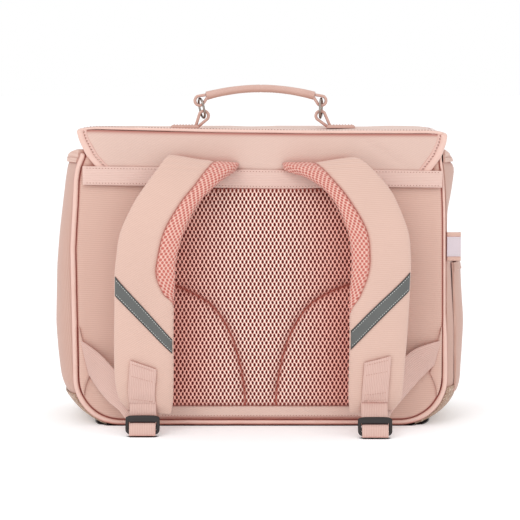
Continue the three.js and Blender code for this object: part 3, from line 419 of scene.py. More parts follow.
def airMeshGroup():
    # two interleaved lattices of upright ovals: the mask is 1 in a hole, the height 1 on a thread; the crest mask marks
    # the upright strokes between holes that get a painted highlight
    tree, given, made = newGroup("air mesh", [
        ("Vector", "NodeSocketVector", None), ("Turn", number, 0.0),
        ("Across", number, 0.00405), ("Along", number, 0.0075),
        ("Open", number, 1.0)], [
        ("Hole", number), ("Height", number), ("CrestHighlight", number)])
    turn = tree.nodes.new("ShaderNodeVectorRotate")
    turn.rotation_type = "Z_AXIS"
    wire(tree, turn.inputs["Vector"], given["Vector"])
    wire(tree, turn.inputs["Angle"], given["Turn"])
    parts = splitVector(tree, turn.outputs[0])
    wander = calc(tree, "MULTIPLY_ADD", noise(tree, given["Vector"], 160.0), 0.3, -0.15)
    u = plus(tree, calc(tree, "DIVIDE", parts["X"], given["Across"]), wander)
    v = plus(tree, calc(tree, "DIVIDE", parts["Y"], given["Along"]), times(tree, wander, 0.5))

    def reach(shift):
        # distance from the nearest hole's middle, 1 on the hole's rim
        x = calc(tree, "SUBTRACT", calc(tree, "FRACT", plus(tree, u, shift)), 0.5)
        y = calc(tree, "SUBTRACT", calc(tree, "FRACT", plus(tree, v, shift)), 0.5)
        x = calc(tree, "DIVIDE", x, times(tree, given["Open"], 0.235))
        y = calc(tree, "DIVIDE", y, times(tree, given["Open"], 0.215))
        return calc(tree, "SQRT", plus(tree, calc(tree, "POWER", calc(tree, "ABSOLUTE", x), 2.0),
                                       calc(tree, "POWER", calc(tree, "ABSOLUTE", y), 2.0)))

    near = calc(tree, "MINIMUM", reach(0.0), reach(0.5))
    wire(tree, made["Hole"], ease(tree, near, 1.12, 0.9))
    wire(tree, made["Height"], ease(tree, near, 0.6, 1.5))
    # painted highlight: upright light strokes on the threads between neighbouring holes
    upright = calc(tree, "MULTIPLY_ADD", calc(tree, "COSINE", times(tree, u, 2 * math.tau)), 0.5, 0.5)
    wire(tree, made["CrestHighlight"], times(tree, upright, ease(tree, near, 1.05, 1.5)))
    return tree


def toneGroup():
    # slow changes of tone over a piece, around 1
    tree, given, made = newGroup("tone", [
        ("Vector", "NodeSocketVector", None), ("Scale", number, 14.0),
        ("Amount", number, 0.06)], [("Tone", number)])
    cloud = noise(tree, given["Vector"], given["Scale"], 3.0)
    wire(tree, made["Tone"], calc(tree, "MULTIPLY_ADD", calc(tree, "SUBTRACT", cloud, 0.5), given["Amount"], 1.0))
    return tree


def holeRowGroup():
    # a row of needle holes along V at a place in U: 1 in a hole, where shade is painted
    tree, given, made = newGroup("needle holes", [
        ("Vector", "NodeSocketVector", None), ("Line", number, 0.0),
        ("Pitch", number, 0.0031), ("Radius", number, 0.0006)],
        [("Hole", number)])
    parts = splitVector(tree, given["Vector"])
    off = calc(tree, "SUBTRACT", parts["X"], given["Line"])
    along = times(tree, calc(tree, "SUBTRACT", calc(tree, "FRACT", calc(
        tree, "DIVIDE", parts["Y"], given["Pitch"])), 0.5), given["Pitch"])
    away = calc(tree, "SQRT", plus(tree, times(tree, off, off), times(tree, along, along)))
    wire(tree, made["Hole"], ease(tree, calc(tree, "DIVIDE", away, given["Radius"]), 1.1, 0.6))
    return tree


def hideGrainGroup():
    # fine creased cells and pores of a leather surface
    tree, given, made = newGroup("hide grain", [
        ("Vector", "NodeSocketVector", None), ("Scale", number, 700.0)],
        [("Height", number), ("Cloud", number)])
    cells = tree.nodes.new("ShaderNodeTexVoronoi")
    cells.feature = "SMOOTH_F1"
    wire(tree, cells.inputs["Vector"], given["Vector"])
    wire(tree, cells.inputs["Scale"], given["Scale"])
    cloud = noise(tree, given["Vector"], 55.0, 4.0, 0.6)
    creased = calc(tree, "MULTIPLY_ADD", cells.outputs["Distance"], 0.8, times(tree, cloud, 0.5))
    wire(tree, made["Height"], creased)
    wire(tree, made["Cloud"], cloud)
    return tree


def glitterGroup():
    # small flakes: each cell has its own brightness, and few are bright
    tree, given, made = newGroup("glitter", [
        ("Vector", "NodeSocketVector", None), ("Scale", number, 1500.0)],
        [("Flake", number), ("Tone", number), ("Height", number)])
    cells = tree.nodes.new("ShaderNodeTexVoronoi")
    wire(tree, cells.inputs["Vector"], given["Vector"])
    wire(tree, cells.inputs["Scale"], given["Scale"])
    parts = splitVector(tree, cells.outputs["Color"])
    wire(tree, made["Flake"], ease(tree, parts["X"], 0.8, 0.86))
    wire(tree, made["Tone"], parts["Y"])
    wire(tree, made["Height"], parts["Z"])
    return tree


groups = {
    "rib": ribWeaveGroup(), "mesh": airMeshGroup(), "tone": toneGroup(), "holes": holeRowGroup(),
    "grain": hideGrainGroup(), "glitter": glitterGroup(),
}


def placeGroup(tree, key, **values):
    # one use of a shared group
    node = tree.nodes.new("ShaderNodeGroup")
    node.node_tree = groups[key]
    for label, value in values.items():
        wire(tree, node.inputs[label], value)
    return node.outputs


def newMaterial(name, **sockets):
    # a Principled material with its UVs and object coordinates
    material = bpy.data.materials.new(name)
    material.use_nodes = True
    tree = material.node_tree
    shader = tree.nodes["Principled BSDF"]
    for label, value in sockets.items():
        shader.inputs[label].default_value = value
    uv = tree.nodes.new("ShaderNodeUVMap")
    uv.uv_map = "surface"
    coordinates = tree.nodes.new("ShaderNodeTexCoord")
    return material, tree, shader.inputs, uv.outputs[0], coordinates.outputs["Object"]


def bumped(tree, height, distance, strength=1.0):
    # bends the normal by the height's slope times a distance
    node = tree.nodes.new("ShaderNodeBump")
    node.inputs["Strength"].default_value = strength
    node.inputs["Distance"].default_value = distance
    wire(tree, node.inputs["Height"], height)
    return node.outputs[0]


def paintSeamShade(tree, colour, dark):
    # painted shade: darkens towards the seam's shade red where the mesh's seam attribute says a point lies in a seam's
    # shade
    node = tree.nodes.new("ShaderNodeAttribute")
    node.attribute_name = "seam"
    return blendColour(tree, node.outputs["Fac"], colour, dark)


def paintCreviceShade(tree, colour, reach=0.013):
    # painted shade: where little open sky is left round a point, the colour is painted towards a deep red, standing in
    # for the shade and red bounced light in folds and gaps
    node = tree.nodes.new("ShaderNodeAmbientOcclusion")
    node.samples = 6
    node.inputs["Distance"].default_value = reach
    creviceShadeAmount = times(tree, ease(tree, node.outputs["AO"], 0.8, 0.2), 0.85)
    return blendColour(tree, creviceShadeAmount, colour, blendColour(tree, 1.0, colour, (0.72, 0.3, 0.26, 1), "MULTIPLY"))


def toned(tree, colour, amount, scale, place):
    # the colour times a tone near 1
    tone = placeGroup(tree, "tone", Vector=place, Scale=scale, Amount=amount)["Tone"]
    grey = tree.nodes.new("ShaderNodeCombineXYZ")
    for socket in grey.inputs:
        tree.links.new(tone, socket)
    return blendColour(tree, 1.0, colour, grey.outputs[0], "MULTIPLY")


def clothMaterial(name, light, dark, rib=0.002, fine=0.0009, turn=0.0, depth=0.00012, contrast=1.0, uneven=0.8,
                  tone=0.08, lines=(), holePitch=0.0031):
    # ribbed cloth: dark between its ribs; lines are rows of needle holes painted with shade, as places in U
    material, tree, sockets, uv, place = newMaterial(name, **{
        "Roughness": 0.86, "Sheen Weight": 0.22, "Sheen Roughness": 0.5, "Specular IOR Level": 0.28})
    weave = placeGroup(tree, "rib", Vector=uv, Turn=turn, Rib=rib, Thread=fine, Uneven=uneven)
    shade = calc(tree, "MULTIPLY_ADD", calc(tree, "SUBTRACT", weave["Shade"], 0.5), contrast, 0.5, clamp=True)
    colour = toned(tree, blendColour(tree, shade, dark, light), tone, 16.0, place)
    for line in lines:
        # painted shade: each needle hole is painted dark red-brown
        hole = placeGroup(tree, "holes", Vector=uv, Line=line, Pitch=holePitch)["Hole"]
        colour = blendColour(tree, times(tree, hole, 0.75), colour, shown(120, 55, 42))
    # painted seam shade and painted crevice shade on the cloth's colour
    wire(tree, sockets["Base Color"], paintCreviceShade(tree, paintSeamShade(tree, colour, tint["seam"])))
    wire(tree, sockets["Normal"], bumped(tree, weave["Height"], depth, 0.8))
    return material


def meshMaterial(name, light, mid, hole, across, along, turn=0.0, opened=1.0, depth=0.0009, sideShadeColour=None):
    # threads lighter on their crest as a painted highlight, dark in the holes as painted shade, and redder towards the
    # pad's sides as painted shade where a side colour is given
    material, tree, sockets, uv, place = newMaterial(name, **{
        "Roughness": 0.7, "Sheen Weight": 0.15, "Specular IOR Level": 0.3})
    net = placeGroup(tree, "mesh", Vector=uv, Turn=turn, Across=across, Along=along, Open=opened)
    threadColour = toned(tree, blendColour(tree, net["CrestHighlight"], mid, light), 0.12, 18.0, place)
    if sideShadeColour is not None:
        # painted shade: threads turn redder and darker towards the pad's sides, where they face away from the light
        side = calc(tree, "ABSOLUTE", splitVector(tree, place)["X"])
        sideShadeAmount = times(tree, ease(tree, side, 0.02, 0.095), 0.75)
        threadColour = blendColour(tree, sideShadeAmount, threadColour, sideShadeColour)
    # painted shade inside the holes
    colour = blendColour(tree, net["Hole"], threadColour, hole)
    # painted seam shade and painted crevice shade on the mesh's colour
    wire(tree, sockets["Base Color"], paintCreviceShade(tree, paintSeamShade(tree, colour, tint["seam"])))
    wire(tree, sockets["Roughness"], calc(tree, "MULTIPLY_ADD", net["Hole"], 0.25, 0.66))
    wire(tree, sockets["Normal"], bumped(tree, net["Height"], depth, 0.9))
    return material


def hideMaterial(name, light, dark, roughness, coat, scale=700.0, depth=0.00005, lines=()):
    # the cloud mixes dark and light and roughens by up to 0.16
    material, tree, sockets, uv, place = newMaterial(name, **{
        "Coat Weight": coat, "Coat Roughness": 0.18, "Specular IOR Level": 0.5})
    grain = placeGroup(tree, "grain", Vector=place, Scale=scale)
    colour = toned(tree, blendColour(tree, grain["Cloud"], dark, light), 0.06, 20.0, place)
    for line in lines:
        # painted shade: each needle hole is painted dark red-brown
        hole = placeGroup(tree, "holes", Vector=uv, Line=line)["Hole"]
        colour = blendColour(tree, times(tree, hole, 0.9), colour, shown(90, 42, 34))
    # painted seam shade and painted crevice shade on the hide's colour
    wire(tree, sockets["Base Color"], paintCreviceShade(tree, paintSeamShade(tree, colour, tint["seam"])))
    wire(tree, sockets["Roughness"], calc(tree, "MULTIPLY_ADD", grain["Cloud"], 0.16, roughness - 0.08))
    wire(tree, sockets["Normal"], bumped(tree, grain["Height"], depth, 0.6))
    return material


finish = {
    "fabric": (236, 200, 185), "fabricDark": (218, 175, 159), "strap": (236, 203, 189),
    # the side colours are the panel cloth painted darker, as painted shade on walls turned away from the light
    "strapDark": (221, 181, 165), "side": (220, 182, 167), "sideDark": (203, 159, 144),
    "flap": (238, 208, 196), "flapDark": (225, 190, 176), "webbing": (240, 207, 196),
    "webbingDark": (218, 174, 161), "band": (250, 219, 208), "bandDark": (229, 190, 177),
    "vinyl": (248, 214, 201), "vinylDark": (238, 192, 176), "leather": (228, 190, 177),
    # painted light on the meshes: the light thread colours are painted highlights on the crests, the hole colours
    # painted shade inside the holes, and the redder mesh colour painted shade towards the pad's sides
    "leatherDark": (210, 166, 151), "meshThreadHighlight": (255, 244, 232, 1), "meshMid": (255, 196, 180, 0.95),
    "meshHoleShade": (100, 10, 7), "meshSideShade": (252, 166, 150, 0.9), "liningThreadHighlight": (248, 204, 190),
    "liningMid": (238, 172, 158), "liningHoleShade": (208, 112, 100), "label": (238, 226, 231),
    # the needle colour is painted shade: sunk stitches are drawn dark red-brown for the shade of their needle holes
    "tape": (96, 98, 96), "tapeDark": (52, 53, 52), "thread": (240, 208, 196), "needle": (172, 112, 98),
    # the seam colour is painted shade: the deep red of the gaps at seams, grooves and channels
    "seam": (170, 74, 60),
}
tint = {key: shown(*value) for key, value in finish.items()}

panelCloth = clothMaterial("ribbed panel cloth", tint["fabric"], tint["fabricDark"], rib=0.0021, turn=0.05)
# painted shade: the side walls, their bottom and the pocket get a darker copy of the panel cloth
shadedSideCloth = clothMaterial("ribbed side cloth with painted shade", tint["side"], tint["sideDark"], rib=0.0021, turn=1.5)
flapCloth = clothMaterial("fine flap cloth", tint["flap"], tint["flapDark"], rib=0.0019, turn=-0.5, contrast=0.6)
strapCloth = {
    "left": clothMaterial("strap cloth left", tint["strap"], tint["strapDark"], rib=0.0019, turn=-0.55),
    "right": clothMaterial("strap cloth right", tint["strap"], tint["strapDark"], rib=0.002, turn=0.06),
}
webbingCloth = clothMaterial("ribbed webbing", tint["webbing"], tint["webbingDark"], rib=0.0017, fine=0.0011,
                             turn=math.pi / 2, depth=0.00035, contrast=1.1, uneven=0.25)
bandCloth = clothMaterial("ribbed band", tint["band"], tint["bandDark"], rib=0.0017, fine=0.0011,
                          depth=0.0003, contrast=0.75, uneven=1.4)
padMesh = meshMaterial("air mesh", tint["meshThreadHighlight"], tint["meshMid"], tint["meshHoleShade"], 0.00405, 0.0075,
                       opened=1.19, sideShadeColour=tint["meshSideShade"])
liningMesh = meshMaterial("lining mesh", tint["liningThreadHighlight"], tint["liningMid"], tint["liningHoleShade"], 0.0042, 0.0058,
                          opened=1.02, depth=0.0006)
pipingVinyl = hideMaterial("piping vinyl", tint["vinyl"], tint["vinylDark"], 0.36, 0.35, depth=0.00003)
bindingVinyl = hideMaterial("binding vinyl", tint["vinyl"], tint["vinylDark"], 0.33, 0.45, depth=0.00003,
                            lines=(0.0064,))
handleLeather = hideMaterial("handle leather", tint["leather"], tint["leatherDark"], 0.46, 0.12)
# painted shade: stitches sunk in their holes are drawn in the dark needle colour
holeShadeThread = newMaterial("needle holes", **{"Base Color": tint["needle"], "Roughness": 0.8})[0]
threadPink = newMaterial("thread", **{"Base Color": tint["thread"], "Roughness": 0.6, "Sheen Weight": 0.2})[0]
threadDark = newMaterial("shaded thread", **{"Base Color": shown(206, 158, 144), "Roughness": 0.65})[0]
threadWhite = newMaterial("white thread", **{"Base Color": shown(222, 224, 220), "Roughness": 0.6})[0]
labelCloth = clothMaterial("bare label", tint["label"], shown(214, 198, 206), rib=0.0008, fine=0.0006, depth=0.00005)


def tapeMaterial():
    # woven grey tape: a darker selvedge along both edges and a fine honeycomb between
    material, tree, sockets, uv, place = newMaterial("reflective tape", **{
        "Roughness": 0.42, "Specular IOR Level": 0.55, "Sheen Weight": 0.1})
    cells = tree.nodes.new("ShaderNodeTexVoronoi")
    cells.feature = "DISTANCE_TO_EDGE"
    wire(tree, cells.inputs["Vector"], uv)
    cells.inputs["Scale"].default_value = 900.0
    cells.inputs["Randomness"].default_value = 0.15
    comb = ease(tree, cells.outputs["Distance"], 0.02, 0.12)
    grey = blendColour(tree, comb, shown(84, 86, 85), tint["tape"])
    parts = splitVector(tree, uv)
    rim = calc(tree, "MINIMUM", parts["Y"], calc(tree, "SUBTRACT", tapeSizes["wide"] * mm, parts["Y"]))
    colour = blendColour(tree, ease(tree, rim, 0.0019, 0.0014), toned(tree, grey, 0.1, 30.0, place), tint["tapeDark"])
    wire(tree, sockets["Base Color"], colour)
    wire(tree, sockets["Normal"], bumped(tree, comb, 0.00004, 0.5))
    return material


def glitterMaterial():
    # taupe by each flake's tone, few of them bright: the bright flakes are partly the glitter's own lighter colour and
    # partly painted glints
    material, tree, sockets, _, place = newMaterial("taupe glitter leather", **{
        "Specular IOR Level": 0.35, "Coat Weight": 0.05, "Coat Roughness": 0.3})
    flakes = placeGroup(tree, "glitter", Vector=place)
    ground = blendColour(tree, flakes["Tone"], shown(150, 114, 92), shown(198, 162, 138))
    wire(tree, sockets["Base Color"], blendColour(tree, flakes["Flake"], ground, shown(226, 204, 182)))
    wire(tree, sockets["Metallic"], times(tree, flakes["Flake"], 0.3))
    wire(tree, sockets["Roughness"], calc(tree, "MULTIPLY_ADD", flakes["Tone"], 0.3, 0.32))
    wire(tree, sockets["Normal"], bumped(tree, flakes["Height"], 0.00012, 0.7))
    return material


def plasticMaterial():
    # near black, mixed by the grain's cloud
    material, tree, sockets, _, place = newMaterial("moulded black plastic", **{"Specular IOR Level": 0.45})
    grain = placeGroup(tree, "grain", Vector=place, Scale=1600.0)
    wire(tree, sockets["Base Color"], blendColour(tree, grain["Cloud"], shown(20, 11, 10), shown(36, 24, 22)))
    wire(tree, sockets["Roughness"], calc(tree, "MULTIPLY_ADD", grain["Cloud"], 0.2, 0.34))
    wire(tree, sockets["Normal"], bumped(tree, grain["Height"], 0.00003, 0.5))
    return material


def steelMaterial():
    # metal, mixed by a fine noise
    material, tree, sockets, _, place = newMaterial("polished steel", **{"Metallic": 1.0})
    cloud = noise(tree, place, 240.0, 4.0, 0.6)
    wire(tree, sockets["Base Color"], blendColour(tree, cloud, shown(104, 92, 84, 1), shown(186, 176, 168, 1)))
    wire(tree, sockets["Roughness"], calc(tree, "MULTIPLY_ADD", cloud, 0.16, 0.12))
    wire(tree, sockets["Normal"], bumped(tree, cloud, 0.00003, 0.3))
    return material


tapeSizes = {"wide": 17.4, "thick": 0.6, "top": {"left": 158.9, "right": 163}, "slant": {"left": 64.7, "right": 60},
             "ends": {"left": (19.4, 14.1), "right": (18.4, 18.6)},
             "stitchInset": 2.5}
tapeWoven = tapeMaterial()
patchHide = glitterMaterial()
buckleBlack = plasticMaterial()
polishedSteel = steelMaterial()
print("materials made")


# Body

gussetRows = {
    "height": [0, .045, .09, .133, .19, .27, .36, .58, .66, .71, .78, .84, .91, .95, .968, 1],
    "left": [.3, .42, .58, .72, .85, .95, 1.02, .95, .86, .8, .7, .62, .53, .46, .4, .34],
    "right": [.5, .6, .68, .66, .6, .6, .6, .42, .2, .06, .09, .26, .4, .46, .22, .12],
    "fold": [0, 0, 0, 0, 0, 0, 0, 0, .1, .25, .4, .55, .8, .9, .95, 1],
}


def bodyOutline(inset, top, sideSteps=56, cornerSteps=20, bottomSteps=30):
    # the U seen from the back: down the left side, round both lower corners, up the right side
    radius, centre = body["cornerRadius"] - inset, halfWidth - body["cornerRadius"]
    high = np.linspace(top, body["cornerRadius"], sideSteps, endpoint=False)
    turn = np.linspace(0, math.pi / 2, cornerSteps, endpoint=False)
    low = np.linspace(centre, 0, bottomSteps)
    x = np.concatenate([np.full(sideSteps, halfWidth - inset), centre + radius * np.cos(turn), low])
    z = np.concatenate([high, body["cornerRadius"] - radius * np.sin(turn), np.full(bottomSteps, inset)])
    outX = np.concatenate([np.ones(sideSteps), np.cos(turn), np.zeros(bottomSteps)])
    outZ = np.concatenate([np.zeros(sideSteps), -np.sin(turn), -np.ones(bottomSteps)])
    mirror = lambda part, sign: np.concatenate([sign * part, part[-2::-1]])
    return mirror(x, -1), mirror(z, 1), mirror(outX, -1), mirror(outZ, 1)


backLean = {
    "height": [0, 60, 117, 181, 208, 224, 239, 250, 262, 269, 275, 284],
    "left": [0, -0.4, -1.2, -2, -0.4, 0.7, 1.5, 2, 4, 6.5, 9, 9.5],
    "right": [0, 0.2, 1.3, 1.9, 2.2, 2.6, 3.3, 4, 5.4, 6.4, 6.8, 6.8],
}


def backPull(x, z):
    # how far a back edge leans in, read from its side's rows at that height; below zero it bows out
    left = np.interp(z, backLean["height"], backLean["left"])
    return np.where(np.asarray(x) < 0, left, np.interp(z, backLean["height"], backLean["right"]))


def swell(x, z, share):
    # the full side wall: a flat-topped bulge with a pleat down its middle near the top
    def read(column):
        # the rows' mean over 6 mm either way
        spread = np.linspace(-6, 6, 7)
        heights = [(z + step) / body["gussetHeight"] for step in spread]
        return np.mean([np.interp(height, gussetRows["height"], column) for height in heights], 0)
    side = np.where(x < 0, read(gussetRows["left"]), read(gussetRows["right"]))
    fromMiddle = np.abs(2 * share - 1)
    amount = body["gussetBulge"] * side * (1 - fromMiddle ** 4)
    amount = amount - body["gussetFold"] * read(gussetRows["fold"]) * np.exp(-(fromMiddle / 0.28) ** 2)
    reach = np.minimum(1, np.abs(x) / (halfWidth - body["cornerRadius"]))
    return np.sign(x) * reach * amount


def onGusset(outline, shares, offset):
    # the outline at each share of the depth, moved out by swell and offset
    x, z, outX, outZ = (part[:, None] for part in outline)
    share = shares[None, :]
    grid = np.stack(np.broadcast_arrays(x + swell(x, z, share), gussetEdge * (2 * share - 1), z), -1)
    held = 1 - np.abs(2 * share - 1) ** 6
    wrinkle = body["fabricRipple"] * ripples(grid * [1, 1, 0.45], 42, 5) * held
    push = offset + wrinkle * (0.25 + np.abs(outX))
    grid[..., 0] += outX * push - np.sign(x) * backPull(x, z) * np.exp(-((share / 0.16) ** 2)) * np.abs(outX)
    grid[..., 2] += outZ * (offset - 0.4 * held * (1 - np.abs(outX)))
    return grid


depthShares = np.concatenate([np.linspace(0, 0.12, 9), np.linspace(0.12, 0.88, 46)[1:-1], np.linspace(0.88, 1, 9)])


def outlineUv(outline, shares):
    # metres across the depth and along the outline
    run = np.concatenate([[0], np.cumsum(np.hypot(np.diff(outline[0]), np.diff(outline[1])))]) * mm
    return np.stack(np.meshgrid(shares * 2 * gussetEdge * mm, run), -1)


def makeGusset():
    # the bellows wall between its two skins
    outline = bodyOutline(0, body["gussetHeight"] - 0.6)
    outer = onGusset(outline, depthShares, 0)
    inner = onGusset(outline, depthShares, -body["gussetWall"])
    lower = 6 * easeIn(outline[1], 262, 277)[:, None] * easeIn(depthShares, 0.02, 0.3)
    outer[..., 2] -= lower
    inner[..., 2] -= lower
    piece = makePiece("side_wall", [wallPatch(outer, inner, outlineUv(outline, depthShares))], shadedSideCloth,
                      ["gusset"])


def sideStrip(side, low, high, steps):
    # a stretch of one side's outline between two heights, from its top down
    z = np.linspace(high, low, steps)
    x = np.full(steps, signOf[side] * halfWidth)
    return x, z, np.full(steps, float(signOf[side])), np.zeros(steps)


def makeHem(side):
    # a side wall's top fold: its outline, thickened, rolled and stitched
    hem = {"height": 10, "thick": 1.7, "roll": 2.2, "over": 3.4, "stitch": 8.5, "drop": 6}
    outline = sideStrip(side, body["gussetHeight"] - hem["height"], body["gussetHeight"] + hem["over"], 22)
    down = (outline[1][0] - outline[1])[:, None]
    rolled = hem["roll"] * (1 - np.sqrt(np.clip(1 - (1 - np.minimum(down / hem["roll"], 1)) ** 2, 0, 1)))
    lip = 0.5 * np.exp(-((down - hem["height"] - hem["over"]) / 1.2) ** 2)
    outer = onGusset(outline, depthShares, 2 * gap + hem["thick"])
    outer[..., 0] -= signOf[side] * (rolled + lip)
    closing = 15 * np.exp(-((depthShares / 0.03) ** 2))
    inner = onGusset(outline, depthShares, -body["gussetWall"] - 1)
    inner[..., 0] += signOf[side] * (np.minimum(rolled, 1.2) - closing)
    away = hem["drop"] * easeIn(depthShares, 0.02, 0.3) * np.clip(1 - down / hem["height"], 0, 1)
    outer[..., 2] -= away
    inner[..., 2] -= away
    makePiece(f"side_hem_{side}", [wallPatch(outer, inner, gridUv(outer))], panelCloth,
              [f"gusset_hem_{side}"])
    row = outer[int(np.argmin(np.abs(down[:, 0] - hem["stitch"])))]
    out = np.array([signOf[side], 0.0, 0.0])
    makePiece(f"side_hem_stitch_{side}", [stitchPatch(row, out, length=1.4)], holeShadeThread)


def edgeDistance(x, z, inset):
    # how far a point of a panel is inside the panel's own outline
    radius, centre = body["cornerRadius"] - inset, halfWidth - body["cornerRadius"]
    inCorner = (np.abs(x) > centre) & (z < body["cornerRadius"])
    round_ = radius - np.hypot(np.abs(x) - centre, body["cornerRadius"] - z)
    straight = np.minimum(halfWidth - inset - np.abs(x), z - inset)
    return np.maximum(np.where(inCorner, round_, straight), 0)


def makePanel(facing, name, node):
    # a panel seen as rows from its foot to its top, drawn back along its piping
    inset = 2 * body["pipingRadius"] - 0.5
    radius, centre = body["cornerRadius"] - inset, halfWidth - body["cornerRadius"]
    low = inset + radius * (1 - np.cos(np.linspace(0, math.pi / 2, 26)))
    top = body["panelHeight"] + (body["backRise"] if facing < 0 else 0)
    z = np.concatenate([low, np.linspace(low[-1], top, 80)[1:]])
    wide = centre + radius * np.sqrt(np.clip(1 - (np.maximum(body["cornerRadius"] - z, 0) / radius) ** 2, 0, 1))
    u = np.sin(np.linspace(-1, 1, 111) * math.pi / 2 * 0.92) / math.sin(math.pi / 2 * 0.92)
    x, zGrid = u[None] * wide[:, None], np.repeat(z[:, None], len(u), 1)
    away = edgeDistance(x, zGrid, inset)
    flat = np.stack([x, np.zeros_like(x), zGrid], -1)
    face = -1.5 * np.exp(-((away / 1.5) ** 2)) + 0.45 * ripples(flat, 75, 11 + facing) * easeIn(away, 0, 16)
    face = face + 0.5 * np.exp(-((away - 6) / 4) ** 2)
    x = x - np.sign(x) * backPull(x, zGrid) * easeIn(np.abs(u[None]), 0.6, 1) * (facing < 0)
    x = x + body["rightEase"] * easeIn(u[None], 0.6, 1) * easeIn(zGrid, 85, 115) * (facing < 0)
    y = facing * (panelFace - 0.3 + np.minimum(face, 0.28))
    front = np.stack([x, y, zGrid], -1)
    back = np.stack([x, np.full_like(x, facing * (panelFace - body["panelThickness"])), zGrid], -1)
    uv = np.stack([x, zGrid], -1) * mm
    # painted seam shade on the panel's rim beside its piping
    piece = makePiece(name, [wallPatch(front, back, uv)], panelCloth, [node],
                      paintedSeamShade=np.exp(-((away / 1.3) ** 2)))


def makePiping(facing, node):
    # a round cord under glossy vinyl, a little uneven, following the body's outline
    top = body["panelHeight"] + (body["backRise"] if facing < 0 else 0)
    x, z, _, _ = bodyOutline(body["pipingRadius"], top, 70, 26, 60)
    path = np.stack([x, np.full_like(x, facing * pipingY), z], 1)
    path[:, 0] -= np.sign(x) * (backPull(x, z) if facing < 0 else 0)
    path[:, 2] = np.maximum(path[:, 2] + 0.12 * ripples(path, 40, 3), body["pipingRadius"] + 0.05)
    turn = np.linspace(0, 2 * math.pi, 18, endpoint=False)
    sunk = body["cordSunk"] * easeIn(z, 85, 115) * (x > 0) * (facing < 0)
    radius = (body["pipingRadius"] - 0.08) * (1 + 0.02 * ripples(path, 18, 4)) * (1 - sunk)
    profile = np.stack([np.cos(turn), np.sin(turn)], -1)[None] * radius[:, None, None]
    rings = roundedEnds(sweep(path, np.array([0, 1.0, 0]), profile), 1.2)
    # painted seam shade along the cord's two sides, in the gaps against the panel and the side wall
    sewn = np.exp(-((np.abs(np.sin(turn)) - 1) / 0.17) ** 2)
    makePiece(node + "_cord", [loftPatch(rings)], pipingVinyl, [node],
              paintedSeamShade=np.repeat(sewn[None], len(rings), 0))


makeGusset()
for side in signOf:
    makeHem(side)
makePanel(-1, "back_cloth", "back_panel")
makePanel(1, "front_cloth", "front_panel")
makePiping(-1, "back_piping")
makePiping(1, "front_piping")
print("body made")


# Flap

flap = {
    "top": 299.5, "dome": 0.4, "frontLift": 1.5, "endLift": 4.2, "lean": 2.6, "shift": 1.6, "thickness": 2,
    "backBottom": 252, "frontBottom": 108, "backBend": 5,
    "frontBend": 14, "halfWidth": 188.5, "cornerRadius": 45, "sideDroop": 4.5, "bindingWidth": 9.2,
    "bindingThickness": 2.6, "cordRadius": 2.2, "ripple": 0.55,
}
flapBackRows = {"height": [0, 0.25, 0.55, 0.85, 1], "width": [0.868, 0.9, 0.95, 0.98, 0.988]}
flapSheetY = panelFace + gap + flap["bindingThickness"] / 2
flapFrontY = halfDepth + gap + flap["bindingThickness"] / 2
flapFace = flapSheetY + flap["bindingThickness"] / 2


def flapSection():
    # the flap's middle line from the back's lower edge over the top and down the front
    bendZ = flap["top"] - flap["backBend"]
    back = np.linspace(flap["backBottom"], bendZ, 30)
    parts = [np.stack([np.full(30, -flapSheetY), back, np.full(30, -1.0), np.zeros(30)], 1)]
    turn = np.linspace(0, math.pi / 2, 10)[1:]
    parts.append(np.stack([-flapSheetY + flap["backBend"] * (1 - np.cos(turn)),
                           bendZ + flap["backBend"] * np.sin(turn), -np.cos(turn), np.sin(turn)], 1))
    share = np.linspace(0, 1, 40)[1:]
    start, end = -flapSheetY + flap["backBend"], flapFrontY - flap["frontBend"]
    parts.append(np.stack([start + (end - start) * share, flap["top"] + flap["dome"] * (1 - (2 * share - 1) ** 2),
                           np.zeros(39), np.ones(39)], 1))
    turn = np.linspace(0, math.pi / 2, 14)[1:]
    parts.append(np.stack([end + flap["frontBend"] * np.sin(turn), flap["top"] - flap["frontBend"] * (1 - np.cos(turn)),
                           np.sin(turn), np.cos(turn)], 1))
    front = np.linspace(flap["top"] - flap["frontBend"], flap["frontBottom"], 60)[1:]
    parts.append(np.stack([np.full(59, flapFrontY), front, np.ones(59), np.zeros(59)], 1))
    line = np.concatenate(parts)
    along = np.concatenate([[0], np.cumsum(np.hypot(np.diff(line[:, 0]), np.diff(line[:, 1])))])
    return along, line


flapAlong, flapLine = flapSection()
flapLength = flapAlong[-1]
backLength = flap["top"] - flap["backBend"] - flap["backBottom"]


def onFlap(x, along, offset):
    # a point of the flap: its section read at a length along it, its sides drooping on the top
    y, z, ny, nz = (np.interp(along, flapAlong, flapLine[:, k]) for k in range(4))
    past = np.maximum(0, (np.abs(x) / flap["halfWidth"] - 0.87) / 0.13)
    atBack = easeIn(-y, -10, 70)
    ends = np.clip((90 - x) / 260, 0, 1) ** 1.8 * atBack * easeIn(z, 272, 298)
    lift = flap["frontLift"] * easeIn(y, 5, 62) * np.maximum(0, nz) + flap["endLift"] * ends
    lift = lift - flap["sideDroop"] * past ** 2 * np.maximum(0, nz)
    lean = (flap["shift"] + flap["lean"] * easeIn(298 - z, 0, 32)) * atBack
    return np.stack(np.broadcast_arrays(x + lean, y + ny * offset, z + nz * offset + lift), -1)


def flapEdge(inset, along):
    # half the flap's width at lengths along it, inside its bound edge by an inset
    back = flap["halfWidth"] * np.interp(along / backLength, flapBackRows["height"], flapBackRows["width"])
    cornerStart = flapLength - flap["cornerRadius"]
    radius = flap["cornerRadius"] - inset
    down = np.clip((along - cornerStart) / radius, 0, 1)
    corner = flap["halfWidth"] - flap["cornerRadius"] + radius * np.sqrt(1 - down ** 2)
    return np.where(along > cornerStart, corner, back - inset)


